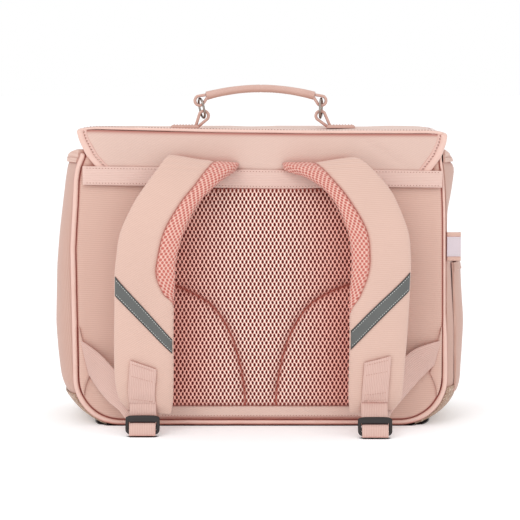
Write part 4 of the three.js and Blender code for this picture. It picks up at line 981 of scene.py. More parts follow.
def flapSag(grid, amount):
    # a long ripple and a quarter of a short one
    return amount * ripples(grid * [1, 1, 1.3], 85, 21) + 0.25 * amount * ripples(grid, 30, 22)


def makeFlap():
    # the flap's top and front, up to the binding
    inset = flap["bindingWidth"] - 0.8
    last = flapLength - inset
    first = backLength + flap["backBend"] * 1.35
    corner = last - (flap["cornerRadius"] - inset)
    along = np.concatenate([np.linspace(first, corner, 120), corner + (last - corner) * np.sin(
        np.linspace(0, math.pi / 2, 20)[1:])])
    half = flapEdge(inset, along)
    u = np.linspace(-1, 1, 121)
    x, run = u[None] * half[:, None], np.repeat(along[:, None], 121, 1)
    middle = onFlap(x, run, 0)
    sag = flapSag(middle, flap["ripple"]) * (1 - np.abs(u[None]) ** 8)
    uv = np.stack([x, run], -1) * mm
    skin = flap["thickness"] / 2
    outer = onFlap(x, run, skin - 0.2 + np.clip(sag, -0.6, 0.3))
    piece = makePiece("flap_cloth", [wallPatch(outer, onFlap(x, run, -skin), uv)], flapCloth, ["flap"])


def makeFlapBack():
    # the flap's part on the back: nearly flat, with one slanting dent on its right
    top = backLength + flap["backBend"] * 0.45
    along = np.linspace(0, top, 50)
    half = flapEdge(flap["bindingWidth"] - 0.8, along)
    u = np.linspace(-1, 1, 141)
    x, run = u[None] * half[:, None], np.repeat(along[:, None], 141, 1)
    slope = (x - 122) * 0.55 + (run - 26) * 0.85
    dent = -0.75 * np.exp(-(slope / 5) ** 2) * np.exp(-((x - 122) / 26) ** 2)
    held = easeIn(run, 0, 6) * easeIn(top - run, 0, 5) * (1 - np.abs(u[None]) ** 10)
    flat = np.stack([x, np.zeros_like(x), run], -1)
    sag = (0.32 * ripples(flat, 60, 31) + dent) * held
    skin = flap["thickness"] / 2
    outer = onFlap(x, run, skin - 0.25 + np.clip(sag, -0.9, 0.25))
    uv = np.stack([x, run], -1) * mm
    # painted shade along the back's top edge, under the rolled edge
    piece = makePiece("flap_back_cloth", [wallPatch(outer, onFlap(x, run, -skin), uv)], flapCloth, ["flap_back"],
                      paintedSeamShade=0.8 * np.exp(-((top - run) / 2.2) ** 2))


def makeBinding():
    # a folded strip round the flap: a full outer roll, a stitched groove and a thin inner lip
    wide, thick = flap["bindingWidth"], flap["bindingThickness"]
    corner = flapLength - flap["cornerRadius"]
    along = np.concatenate([np.linspace(0, 7, 12), np.linspace(7, corner, 190)[1:]])
    turn = np.linspace(0, math.pi / 2, 26)[1:]
    bottomX = np.linspace(flap["halfWidth"] - flap["cornerRadius"], 0, 60)[1:]
    inset = np.array([0, 0.25, 1.0, 2.2, 3.4, 4.6, 5.3, 5.8, 6.4, 7.1, 7.8, 8.5, wide, 9.0, 6, 3, 1.0, 0.25])
    rise = np.array([0, 0.7, 1.1, 1.25, 1.2, 1.0, 0.72, 0.5, 0.6, 0.95, 1.05, 0.8, 0, -0.8, -0.9, -0.95, -0.9, -0.6])
    offset = rise * thick / 2
    end = np.clip(1 - along / 6.5, 0, 1)
    trim = 6.0 * (1 - np.sqrt(1 - end ** 2))
    cut = trim[:, None] + inset[None] * (1 - trim[:, None] / wide)
    broad = 1.15 + 0.42 * easeIn(backLength + 4 - along, 0, 40)
    x1 = flapEdge(0, along)[:, None] - cut * broad[:, None]
    run1 = np.repeat(along[:, None], len(inset), 1)
    radius = flap["cornerRadius"] - inset[None]
    x2 = flap["halfWidth"] - flap["cornerRadius"] + radius * np.cos(turn)[:, None]
    run2 = corner + radius * np.sin(turn)[:, None]
    x3 = np.repeat(bottomX[:, None], len(inset), 1)
    run3 = np.repeat(flapLength - inset[None], len(bottomX), 0)
    x, run = np.concatenate([x1, x2, x3]), np.concatenate([run1, run2, run3])
    x = np.concatenate([x, -x[-2::-1]])
    run = np.concatenate([run, run[-2::-1]])
    rings = onFlap(x, run, offset[None])
    rings = rings + 0.18 * ripples(rings, 16, 41)[..., None] * [0.3, 1, 0.3]
    spine = rings[:, 3]
    length = np.concatenate([[0], np.cumsum(np.linalg.norm(np.diff(spine, axis=0), axis=1))])
    uGrid = np.concatenate([inset, [0.0]])
    uv = np.stack(np.meshgrid(uGrid, length), -1) * mm
    # painted shade in the stitched groove and along the inner edge under the lip
    shade = np.interp(inset, [0, 5.2, 5.8, 6.4, 8.6, wide], [0, 0.1, 0.55, 0.1, 0.3, 0.9])
    shade[13:] = 0
    makePiece("flap_edge_binding", [loftPatch(rings, uv)], bindingVinyl, ["flap_binding"],
              paintedSeamShade=np.repeat(shade[None], len(rings), 0))
    line = rings[:, 7]
    out = unit(gridNormals(np.stack([rings[:, 5], rings[:, 7], rings[:, 9]], 1))[:, 1])
    out = out * np.sign((out * (line - np.array([0, 0, 200.0]))).sum(-1, keepdims=True))
    makePiece("binding_stitch", [stitchPatch(line + out * 0.05, out, length=1.1, radius=0.4)], holeShadeThread)


def makeTopCord():
    # the rolled edge where the flap's top meets its back
    reach = flap["halfWidth"] - flap["bindingWidth"] + 1.5
    x = np.linspace(-reach, reach, 160)
    path = onFlap(x, np.full_like(x, backLength + flap["backBend"] * 0.9), 0.4)
    path[:, 1] -= 0.5
    path[:, 2] += 0.25 * ripples(path, 120, 51)
    turn = np.linspace(0, 2 * math.pi, 16, endpoint=False)
    radius = 0.82 * flap["cordRadius"] * (1 + 0.05 * ripples(path, 40, 52))
    radius = radius * (0.64 + 0.32 * easeIn(path[:, 0], -185, -60))
    profile = np.stack([np.cos(turn), np.sin(turn)], -1)[None] * radius[:, None, None]
    rings = roundedEnds(sweep(path, np.array([0, 1.0, 0]), profile), 1)
    # painted shadow: a dark line along the underside of the roll
    under = 0.6 * np.exp(-((np.abs(np.cos(turn) - 0.25)) / 0.2) ** 2) * (np.sin(turn) < 0.3)
    makePiece("flap_top_roll", [loftPatch(rings)], pipingVinyl, ["flap_top_cord"],
              paintedSeamShade=np.repeat(under[None], len(rings), 0))
    seam = onFlap(x, np.full_like(x, backLength + flap["backBend"] * 1.57 + 4.5), 1.05)
    makePiece("flap_top_stitch", [stitchPatch(seam, np.array([0, 0, 1.0]), length=1.6)], holeShadeThread)


band = {
    "left": -179, "right": 183, "height": 18.9, "thickness": 1.6, "top": 262.4, "tilt": 0.75, "sag": 1.2,
    "rows": (1.9, 16.8),
}
bandFace = flapFace + gap


def onBand(x, down, offset):
    # the band lies flat, a little wavy, and tilts across the back
    tilt = math.tan(math.radians(band["tilt"]))
    wave = 0.35 * ripples(np.stack([x, down * 0.4, 0 * x], -1), 48, 61)
    sag = band["sag"] * np.exp(-((x / 62) ** 4))
    z = band["top"] - down * (1 - 0.1 * easeIn(x, 0, 150)) - x * tilt - sag
    return np.stack([x, -bandFace - offset + np.minimum(wave, 0) * (offset > 0.1), z], -1)


def makeBand():
    # webbing along the band's line, round at its edges, with its stitch rows
    x, down = np.meshgrid(np.linspace(band["left"], band["right"], 240), np.linspace(0, band["height"], 24))
    ends = np.minimum(x - band["left"], band["right"] - x)
    rim = np.minimum(np.minimum(down, band["height"] - down), ends)
    thick = band["thickness"] * np.sqrt(np.clip(0.3 + rim / 0.9, 0, 1))
    uv = np.stack([x, band["height"] - down], -1) * mm
    piece = makePiece("strap_band", [wallPatch(onBand(x, down, thick), onBand(x, down, 0 * x), uv)], bandCloth,
                      ["back_band"])
    onBand(x, down, thick)
    rows = []
    line = np.linspace(band["left"] + 3, band["right"] - 3, 300)
    for place in band["rows"]:
        row = onBand(line, np.full_like(line, place), np.full_like(line, band["thickness"]))
        rows.append(stitchPatch(row, np.array([0, -1.0, 0]), length=1.3, radius=0.3))
    makePiece("band_stitch", rows, holeShadeThread)


makeFlap()
makeFlapBack()
makeBinding()
makeTopCord()
makeBand()
print("flap made")


# Padding

clothSettings = {"frames": 20, "quality": 6, "mass": 0.25, "bending": 0.6}


def inflated(grid, held, pressure, cap, stiffness=6.0):
    # Blender's own cloth, pinned where held is 1, blown up for 20 frames; how far each point moved
    rows, columns = grid.shape[:2]
    quads, _ = gridFaces(rows, columns)
    mesh = bpy.data.meshes.new("padding")
    mesh.from_pydata((grid.reshape(-1, 3) * mm).tolist(), [], quads.tolist())
    cloth = bpy.data.objects.new("padding", mesh)
    bpy.context.scene.collection.objects.link(cloth)
    pins = cloth.vertex_groups.new(name="sewn")
    weights = held.ravel()
    for level in (1.0, 0.5):
        chosen = np.nonzero(np.isclose(weights, level))[0].tolist()
        if chosen:
            pins.add(chosen, level, "REPLACE")
    sim = cloth.modifiers.new("cloth", "CLOTH")
    sim.settings.vertex_group_mass = "sewn"
    sim.settings.quality = clothSettings["quality"]
    sim.settings.mass = clothSettings["mass"]
    sim.settings.tension_stiffness = sim.settings.compression_stiffness = stiffness
    sim.settings.bending_stiffness = clothSettings["bending"]
    sim.settings.use_pressure = True
    sim.settings.uniform_pressure_force = pressure
    sim.settings.effector_weights.gravity = 0
    scene = bpy.context.scene
    for step in range(1, clothSettings["frames"] + 1):
        scene.frame_set(step)
    seen = cloth.evaluated_get(bpy.context.evaluated_depsgraph_get()).to_mesh()
    moved = np.empty(len(seen.vertices) * 3, np.float32)
    seen.vertices.foreach_get("co", moved)
    bpy.data.objects.remove(cloth)
    scene.frame_set(1)
    move = moved.reshape(grid.shape) / mm - grid
    far = np.linalg.norm(move, axis=-1, keepdims=True)
    return move * np.minimum(1, cap / np.maximum(far, 1e-6))


def spread(coarse, rows, columns):
    # a coarse grid of values read evenly at more rows and columns
    r = np.linspace(0, coarse.shape[0] - 1, rows)
    c = np.linspace(0, coarse.shape[1] - 1, columns)
    i, j = np.minimum(r.astype(int), coarse.shape[0] - 2), np.minimum(c.astype(int), coarse.shape[1] - 2)
    s, t = easeIn(r - i, 0, 1)[:, None, None], easeIn(c - j, 0, 1)[None, :, None]
    pick = lambda a, b: coarse[np.ix_(i + a, j + b)]
    return (pick(0, 0) * (1 - s) * (1 - t) + pick(1, 0) * s * (1 - t) + pick(0, 1) * (1 - s) * t + pick(1, 1) * s * t)


pad = {
    "halfWidth": 104, "top": 242.6, "bottom": 21.2, "thickness": 11, "rim": 2.5, "channelDepth": 7,
    "channelWidth": 6.5, "hemBottom": 8.5, "hemThickness": 2.2, "pressure": 2.2, "cap": 5,
}
channelRows = {
    "height": [0.57, 0.54, 0.505, 0.46, 0.37, 0.24, 0.1, -0.02],
    "side": [0.93, 0.75, 0.6, 0.47, 0.33, 0.225, 0.165, 0.145],
}


def channelDistance(x, z):
    # the distance from a point of the pad to the nearer of its two sewn channels
    line = alongCurve(np.stack([np.array(channelRows["side"]) * pad["halfWidth"],
                                pad["bottom"] + (pad["top"] - pad["bottom"]) * np.array(channelRows["height"])], 1), 90)
    flat = np.stack([np.abs(x), z], -1)
    nearest = np.full(x.shape, 1e3)
    for a, b in zip(line[:-1], line[1:]):
        share = np.clip(((flat - a) @ (b - a)) / ((b - a) @ (b - a)), 0, 1)
        nearest = np.minimum(nearest, np.linalg.norm(flat - a - share[..., None] * (b - a), axis=-1))
    return nearest


def padFace(u, v, full):
    # the mesh pad: full in its fields, drawn in along its rim and its two channels
    x, z = u * pad["halfWidth"], pad["bottom"] + (pad["top"] - pad["bottom"]) * v
    rim = np.minimum(1, np.minimum((1 - np.abs(u)) * 8, np.minimum(v, 1 - v) * 12))
    sewn = channelDistance(x, z)
    crown = (pad["thickness"] - pad["rim"]) * full
    sunken = pad["channelDepth"] * full * np.exp(-(sewn / pad["channelWidth"]) ** 2)
    height = crown * np.sqrt(rim) - np.minimum(sunken, crown * rim)
    height = height - 1.2 * np.exp(-(sewn / 1.3) ** 2) * (rim > 0.3)
    return np.stack([x, -panelFace - gap - pad["rim"] - np.maximum(height, -0.8), z], -1), sewn, rim


def makePad():
    # the pad's formula, then blown up as cloth
    u, v = np.meshgrid(np.linspace(-1, 1, 44), np.linspace(0, 1, 48))
    coarse, sewn, rim = padFace(u, v, 0.8)
    held = np.where((sewn < 2.6) | (rim < 0.05), 1.0, 0.0)
    move = inflated(coarse, held, pad["pressure"], pad["cap"])
    rows, columns = 221, 209
    u, v = np.meshgrid(np.linspace(-1, 1, columns), np.linspace(0, 1, rows))
    front = padFace(u, v, 0.8)[0] + spread(move, rows, columns)
    front[..., 1] = np.minimum(front[..., 1], -panelFace - gap - 1.2)
    back = front.copy()
    back[..., 1] = -panelFace - gap
    uv = np.stack([front[..., 0], front[..., 2]], -1) * mm
    _, sewn, rim = padFace(u, v, 1.0)
    # painted shade: dark lines in the sewn channels, a softer shade beside them and shade round the pad's rim
    shade = 0.8 * np.exp(-((sewn / 0.85) ** 2)) + 0.3 * np.exp(-((sewn / 3.2) ** 2)) + 0.4 * (1 - easeIn(rim, 0, 0.3))
    piece = makePiece("mesh_pad", [wallPatch(front, back, uv)], padMesh, ["back_pad"],
                      paintedSeamShade=np.clip(shade, 0, 0.9))
    height = pad["bottom"] - gap - pad["hemBottom"]
    x, down = np.meshgrid(np.linspace(-pad["halfWidth"], pad["halfWidth"], 160), np.linspace(0, height, 12))
    rim = np.minimum(np.minimum(down, height - down), pad["halfWidth"] - np.abs(x))
    thick = pad["hemThickness"] * np.sqrt(np.clip(0.25 + rim / 2.2, 0, 1))
    thick = thick + 0.12 * ripples(np.stack([x, down, down], -1), 30, 71)
    z = pad["bottom"] - gap - down
    face = np.stack([x, -panelFace - gap - thick, z], -1)
    under = np.stack([x, np.full_like(x, -panelFace - gap), z], -1)
    # painted shade along the hem's top edge, under the pad
    makePiece("pad_hem", [wallPatch(face, under, np.stack([x, z], -1) * mm)], flapCloth, ["back_pad_hem"],
              paintedSeamShade=0.6 * np.exp(-((height - down) / 1.2) ** 2))
    rows = [stitchPatch(face[k, 2:-2], np.array([0, -1.0, 0]), length=1.3, radius=0.28) for k in (9,)]
    makePiece("pad_hem_stitch", rows, holeShadeThread)


makePad()
print("pad made")


# Shoulder straps

strap = {
    "top": 277, "drop": 253, "spread": 148, "width": 59, "thickness": 15, "standOff": 46, "seamValley": 0.3,
    "ripple": 0.45, "meshPlump": 2.4,
}
strapRows = {
    "left": {
        "down": [.045, .01, .055, .118, .19, .3, .41, .48, .59, .72, .84, .91, .96, 1],
        "edge": [.6, .622, .69, .77, .85, .936, .966, .976, .977, .981, .981, .972, .95, .9],
        "wide": [1.14, 1.15, 1.14, 1.13, 1.09, 1.08, 1.02, 1.02, 1, 1, 1, .97, .9, .74],
        "fabric": [.66, .66, .69, .73, .73, .69, .69, .7, .9, .95, .95, .95, .95, .95],
        "out": [.07, .33, .58, .75, .85, .93, .98, 1, 1, 1, .98, .93, .88, .85],
        "dip": [0, .2, .14, .05, 0, -.03, -.04, -.02, -.02, 0, 0, .04, .08, .07],
        "full": [.2, .4, .8, 1, 1, 1, 1, 1, 1, .97, .94, .88, .76, .5],
    },
    "right": {
        "down": [.045, .02, .055, .122, .18, .3, .395, .457, .57, .7, .82, .91, .96, 1],
        "edge": [.61, .646, .745, .85, .91, .987, 1.003, 1.003, .995, .983, .968, .958, .945, .9],
        "wide": [1.16, 1.2, 1.18, 1.13, 1.04, 1.03, 1, 1, 1.01, .97, .94, .92, .88, .74],
        "fabric": [.58, .58, .67, .75, .75, .69, .69, .72, .85, .95, .95, .95, .95, .95],
        "out": [.07, .33, .58, .75, .85, .93, .98, 1, 1, 1, .98, .93, .88, .85],
        "dip": [0, .16, .1, 0, .02, -.06, -.05, .05, 0, 0, .02, .04, .06, .05],
        "full": [.2, .4, .8, 1, 1, 1, 1, 1, 1, .97, .94, .88, .76, .5],
    },
}


def strapFrames(side, at):
    # both edges, the outward direction and the sizes of a strap's sections at shares of its rows
    read = lambda column, place: throughRows(strapRows[side][column], place)

    def edges(place):
        # a strap's two edges at a share of its length
        wide, outerX = strap["width"] * read("wide", place), strap["spread"] * read("edge", place)
        y = -halfDepth - strap["standOff"] * read("out", place)
        z = strap["top"] - strap["drop"] * read("down", place)
        sign = signOf[side]
        return (np.stack([sign * outerX, y, z], -1),
                np.stack([sign * (outerX - wide), y, z - strap["width"] * read("dip", place)], -1))

    at = np.asarray(at, float)
    outer, inner = edges(at)
    ahead, behind = edges(np.clip(at + 0.025, 0, 1)), edges(np.clip(at - 0.025, 0, 1))
    along = unit((ahead[0] + ahead[1]) - (behind[0] + behind[1]))
    out = unit(np.cross(unit(inner - outer), along) * signOf[side])
    half = strap["thickness"] * read("full", at) / 2
    return {"outer": outer, "inner": inner, "out": out, "half": half, "along": along,
            "seam": np.minimum(read("fabric", at), 0.95)}


def strapAround(side, at, turn, offset=0.0, smooth=False):
    # a point round the strap's section, a superellipse: turn 0 is the outer edge, a quarter the face
    f = strapFrames(side, at)
    u = -np.sign(np.cos(turn)) * np.abs(np.cos(turn)) ** (2 / 3)
    square = 2.4 + 6 * np.exp(-((at - 0.08) / 0.05) ** 2)
    h = np.sign(np.sin(turn)) * np.abs(np.sin(turn)) ** (2 / square)
    c = (u + 1) / 2
    seamTurn = seamAt(side, at)
    valley = np.exp(-((turn - seamTurn) / 0.07) ** 2) if not smooth else 0
    fill = np.clip((turn - seamTurn) / np.maximum(math.pi + 0.2 - seamTurn, 0.2), 0, 1)
    plump = strap["meshPlump"] * np.sin(fill * math.pi) * easeIn(0.55 - at, 0, 0.2) * (not smooth)
    grid = f["outer"] + (f["inner"] - f["outer"]) * c[..., None]
    ripple = strap["ripple"] * (ripples(grid * [1, 1, 0.8], 38, 81) + 0.5 * ripples(grid, 17, 82))
    crease = 0.7 * np.sin(at * 190 + 2 * c) * np.exp(-((at - 0.13) / 0.07) ** 2)
    lift = f["half"] * h * (1 - strap["seamValley"] * valley)
    lift = lift + np.sign(h) * np.abs(h) * (ripple + crease) * np.minimum(1, f["half"] / 6)
    return grid + f["out"] * (lift + plump + offset)[..., None]


def seamAt(side, at):
    # the turn of the seam between cloth and mesh; low down the cloth wraps the inner edge
    fabric = strapFrames(side, at)["seam"]
    return turnAt(fabric) + 0.75 * easeIn(fabric, 0.82, 0.94)


def turnAt(c):
    # the turn on the face at which a share of the strap's width lies
    u = 2 * np.asarray(c, float) - 1
    flat = np.arccos(np.clip(np.abs(u) ** 1.5, 0, 1))
    return np.where(u < 0, flat, math.pi - flat)


def strapPlace(side, height):
    # the share of the rows at which the strap's outer edge stands at a height, past the fold
    at = np.linspace(0.2, 1, 400)
    z = strapFrames(side, at)["outer"][:, 2]
    return np.interp(-np.asarray(height, float), -z, at)


strapShares = np.linspace(0, 1, 150) ** 1.25


def makeStrap(side):
    # cloth over a strap's face and mesh on its lining
    seam = seamAt(side, strapShares)
    wrap = -0.55
    fabricTurn = wrap + (seam[:, None] - wrap) * np.linspace(0, 1, 56)[None]
    liningTurn = seam[:, None] + (2 * math.pi + wrap - seam[:, None]) * np.linspace(0, 1, 84)[None]
    for name, turn, material, node, slot in (
            ("strap_face", fabricTurn, strapCloth[side], "shoulder_strap", "fabric"),
            ("strap_mesh", liningTurn, liningMesh, "strap_lining", "air_mesh")):
        at = np.repeat(strapShares[:, None], turn.shape[1], 1)
        outer = strapAround(side, at, turn)
        inner = strapAround(side, at, turn) - gridInward(side, at, turn) * 0.8
        if name == "strap_mesh":
            uv = meshUv(outer)
        else:
            uv = np.stack([outer[..., 0], outer[..., 2]], -1) * mm
        # painted seam shade along the valley between cloth and mesh, on the strap's upper part
        edge = np.linalg.norm(strapAround(side, at, turn) - strapAround(side, at, np.repeat(
            seam[:, None], turn.shape[1], 1)), axis=-1)
        piece = makePiece(f"{name}_{side}", [wallPatch(outer, inner, uv)], material, [f"{node}_{side}"],
                          paintedSeamShade=0.8 * np.exp(-((edge / 1.1) ** 2)) * easeIn(0.75 - at, 0, 0.3))


def gridInward(side, at, turn):
    # the direction out of the strap's section at each point
    a = strapAround(side, at, turn, smooth=True)
    return unit(a - strapFrames(side, at)["outer"] * 0.5 - strapFrames(side, at)["inner"] * 0.5)


def meshUv(grid):
    # lengths over the mesh: across each row, and along its middle column
    strides = np.linalg.norm(np.diff(grid, axis=1), axis=-1)
    over = np.concatenate([np.zeros((grid.shape[0], 1)), np.cumsum(strides, 1)], 1)
    down = np.concatenate([[0], np.cumsum(np.linalg.norm(np.diff(grid[:, 12], axis=0), axis=1))])
    return np.stack([over, np.repeat(down[:, None], grid.shape[1], 1)], -1) * mm


def makeTape(side):
    # a grey tape sewn slantwise over the strap's face, white thread along both its edges
    def surface(share, edge, offset):
        # points on the strap's face under the tape
        first, last = tapeSizes["ends"][side]
        height = tapeSizes["top"][side] - tapeSizes["slant"][side] * share - (first + (last - first) * share) * edge
        at = strapPlace(side, height)
        return strapAround(side, at, turnAt(share), 0.5 + offset)
    share, edge = np.meshgrid(np.linspace(0.012, 0.982, 90), np.linspace(0, 1, 14))
    rim = np.minimum(edge, 1 - edge) * tapeSizes["wide"]
    thick = tapeSizes["thick"] * np.sqrt(np.clip(0.3 + rim / 0.8, 0, 1))
    uv = np.stack([share * 0.075, edge * tapeSizes["wide"] * mm], -1)
    piece = makePiece(f"tape_{side}", [wallPatch(surface(share, edge, thick), surface(share, edge, 0 * edge), uv)],
                      tapeWoven, [f"reflective_tape_{side}"])
    min(skinArea(surface(share, edge, thick)), 0.0015)
    rows = []
    line = np.linspace(0.03, 0.965, 120)
    for place in (tapeSizes["stitchInset"] / tapeSizes["wide"], 1 - tapeSizes["stitchInset"] / tapeSizes["wide"]):
        row = surface(line, np.full_like(line, place), tapeSizes["thick"])
        out = strapFrames(side, strapPlace(side, tapeSizes["top"][side] - tapeSizes["slant"][side] * line))["out"]
        rows.append(stitchPatch(row, out, pitch=2.5, length=1.5, radius=0.27))
    makePiece(f"tape_stitch_{side}", rows, threadWhite)


for side in signOf:
    makeStrap(side)
    makeTape(side)
print("straps made")


# Webbing, buckles and anchor tabs

webbing = {
    "width": 26, "thickness": 1.8, "strapTop": {"left": 71, "right": 77}, "leave": 32.8, "sewnGap": 0.8,
    "slant": {"left": 9.0, "right": 6.0}, "shift": {"left": -2.3, "right": -1.4},
    "skew": {"left": 2.6, "right": 0.8}, "stitchRows": (3.0, 13.5, 32.5, 39.5),
}
buckle = {"width": 34, "thickness": 4, "tilt": 14, "base": 1.3, "lowerBar": 3, "lowerSlot": 3, "middleBar": 3,
          "upperSlot": 6.6, "upperBar": 4, "ahead": {"left": 0, "right": 9}, "topBar": 7.2}
anchor = {"top": 101, "bottom": 31, "reach": 11.5, "thickness": 3}
adjusterRows = {
    "left": {"side": [0, .245, .47, .74, .92], "out": [0, .1, .3, .55, .78], "high": [.7, .56, .43, .31, .17],
             "lean": [-.15, .04, .16, .4, .85], "wide": [1.4, 1.36, 1.22, 1.05, 1]},
    "right": {"side": [0, .37, .64, .87, .96], "out": [0, .12, .35, .6, .8], "high": [.745, .6, .44, .29, .16],
              "lean": [-.17, .0, .14, .4, .85], "wide": [1.0, 1.42, 1.25, 1.05, 1]},
}
buckleHeight = sum(buckle[key] for key in ("lowerBar", "lowerSlot", "middleBar", "upperSlot", "upperBar"))
upperBarMiddle = buckleHeight - buckle["upperBar"] / 2
middleBarMiddle = buckle["lowerBar"] + buckle["lowerSlot"] + buckle["middleBar"] / 2


def wrapRadius(bar):
    # half the bar's diagonal, the gap and half the webbing
    return math.hypot(bar, buckle["thickness"]) / 2 + gap + webbing["thickness"] / 2


def sewnPoint(side, height):
    # where the CAD webbing's middle leaves the strap's face
    at = strapPlace(side, height)
    f = strapFrames(side, at)
    lift = f["half"] * max(0, 1 - abs(2 * 0.49 - 1) ** 3) ** (1 / 2.4) + 0.8 + webbing["thickness"] / 2
    moved = np.array([webbing["shift"][side], 0, 0])
    return f["outer"] + (f["inner"] - f["outer"]) * 0.49 + f["out"] * lift[..., None] + moved


def buckleAt(side):
    # turns a place on the buckle (x, up its face, forward) into a point of the bag
    tilt = math.radians(buckle["tilt"])
    up, out = np.array([0, math.sin(tilt), math.cos(tilt)]), np.array([0, -math.cos(tilt), math.sin(tilt)])
    sewn = sewnPoint(side, webbing["leave"])
    origin = np.array([sewn[0], sewn[1] - wrapRadius(buckle["upperBar"]) - 2 * webbing["thickness"], buckle["base"]])
    origin[1] -= upperBarMiddle * math.sin(tilt) + buckle["ahead"][side]

    def at(x, high, front):
        # the buckle's origin, plus x, high along up and front along out
        x, high, front = np.broadcast_arrays(*(np.asarray(v, float) for v in (x, high, front)))
        return origin + np.stack([x, 0 * x, 0 * x], -1) + high[..., None] * up + front[..., None] * out
    return at, up, out


def makeBuckle(side):
    # a moulded frame: a ring with a middle bar, its bars flat ovals in section
    at, _, out = buckleAt(side)
    bar = (buckle["width"] - webbing["width"] - 4 * gap) / 2
    patches = []
    turn = np.linspace(0, 2 * math.pi, 72, endpoint=False)
    power = 6
    halfX, halfZ = (buckle["width"] - bar) / 2, (buckleHeight - 3.4) / 2
    x = np.sign(np.cos(turn)) * np.abs(np.cos(turn)) ** (2 / power) * halfX
    high = buckleHeight / 2 + np.sign(np.sin(turn)) * np.abs(np.sin(turn)) ** (2 / power) * halfZ
    high = high - 1.9 * easeIn(high, buckleHeight * 0.6, buckleHeight * 0.95)
    path = at(x, high, 0)
    crossBar = np.where(high > buckleHeight / 2, buckle["topBar"], buckle["lowerBar"])
    width = np.where(np.abs(x) > halfX * 0.97, bar, crossBar)
    for _ in range(3):
        width = (np.roll(width, 1) + 2 * width + np.roll(width, -1)) / 4
    profile = roundProfile(1, 1, 4, 20)[None] * np.stack([np.full(72, buckle["thickness"]), width], 1)[:, None]
    patches.append(ringPatch(sweep(path, out, profile, ring=True)))
    reach = halfX - 0.2
    bars = np.linspace(-reach, reach, 14)
    barShape = roundProfile(buckle["thickness"] * 0.94, buckle["middleBar"], 4, 18)
    rings = sweep(at(bars, np.full(14, middleBarMiddle), 0), out, barShape)
    patches.append(loftPatch(rings))
    makePiece(f"ladder_buckle_{side}", patches, buckleBlack, [f"buckle_{side}"])


def makeStrapWebbing(side):
    # sewn to the strap's face with a slanting upper end, then back round the buckle's upper bar
    at, _, _ = buckleAt(side)
    radius = wrapRadius(buckle["upperBar"])
    t = np.linspace(-0.5, 0.5, 15)
    sewnLength = webbing["strapTop"][side] - webbing["leave"]
    down = np.linspace(0, sewnLength, 44)
    slant = webbing["slant"][side] * signOf[side] * np.clip(1 - down / 46, 0, 1)
    high = webbing["strapTop"][side] - down[:, None] + slant[:, None] * t[None]
    shift = webbing["shift"][side] + webbing["skew"][side] * (1 - easeIn(down, 0, sewnLength - 8))[:, None]
    place = strapPlace(side, high)
    f = strapFrames(side, place)
    wide = np.linalg.norm(f["inner"] - f["outer"], axis=-1)
    c = 0.49 - signOf[side] * (t[None] * webbing["width"] + shift) / wide
    easeOff = easeIn(down, sewnLength - 16, sewnLength)[:, None]
    face = strapAround(side, place, turnAt(c), webbing["sewnGap"] + webbing["thickness"] / 2)
    flatRow = sewnPoint(side, high) + np.stack([t[None] * webbing["width"] + 0 * high, 0 * high, 0 * high], -1)
    sewn = face * (1 - easeOff[..., None]) + flatRow * easeOff[..., None]
    sewn[..., 1] -= 0.5 * np.exp(-(down[:, None] / 1.6) ** 2)
    turn = np.radians(np.linspace(0, 45, 30))[:, None]
    wrap = at(t[None] * webbing["width"], upperBarMiddle - radius * np.sin(turn), -radius * np.cos(turn))
    grid = np.concatenate([sewn[:-1], wrap])
    middle = alongCurve(np.concatenate([sewn[-6::2, 7], wrap[::3, 7]]), 40)
    tail = middle[:, None] + np.stack([t * webbing["width"], 0 * t, 0 * t], -1)[None]
    grid = np.concatenate([sewn[:-6], tail])
    uv = gridUv(grid)
    piece = makePiece(f"sewn_webbing_{side}", [sheetPatch(grid, webbing["thickness"], uv, 0.35)], webbingCloth,
                      [f"strap_webbing_{side}"])
    normals = -gridNormals(sewn) if gridNormals(sewn)[5, 5, 1] > 0 else gridNormals(sewn)
    rows = []
    for stretch in webbing["stitchRows"]:
        i = int(np.argmin(np.abs(down - stretch)))
        if i < len(sewn) - 1:
            row = sewn[i, 1:-1] + normals[i, 1:-1] * webbing["thickness"] / 2
            rows.append(stitchPatch(row, normals[i, 1:-1], pitch=2.5, length=1.8, radius=0.3))
    makePiece(f"webbing_stitch_{side}", rows, threadDark)


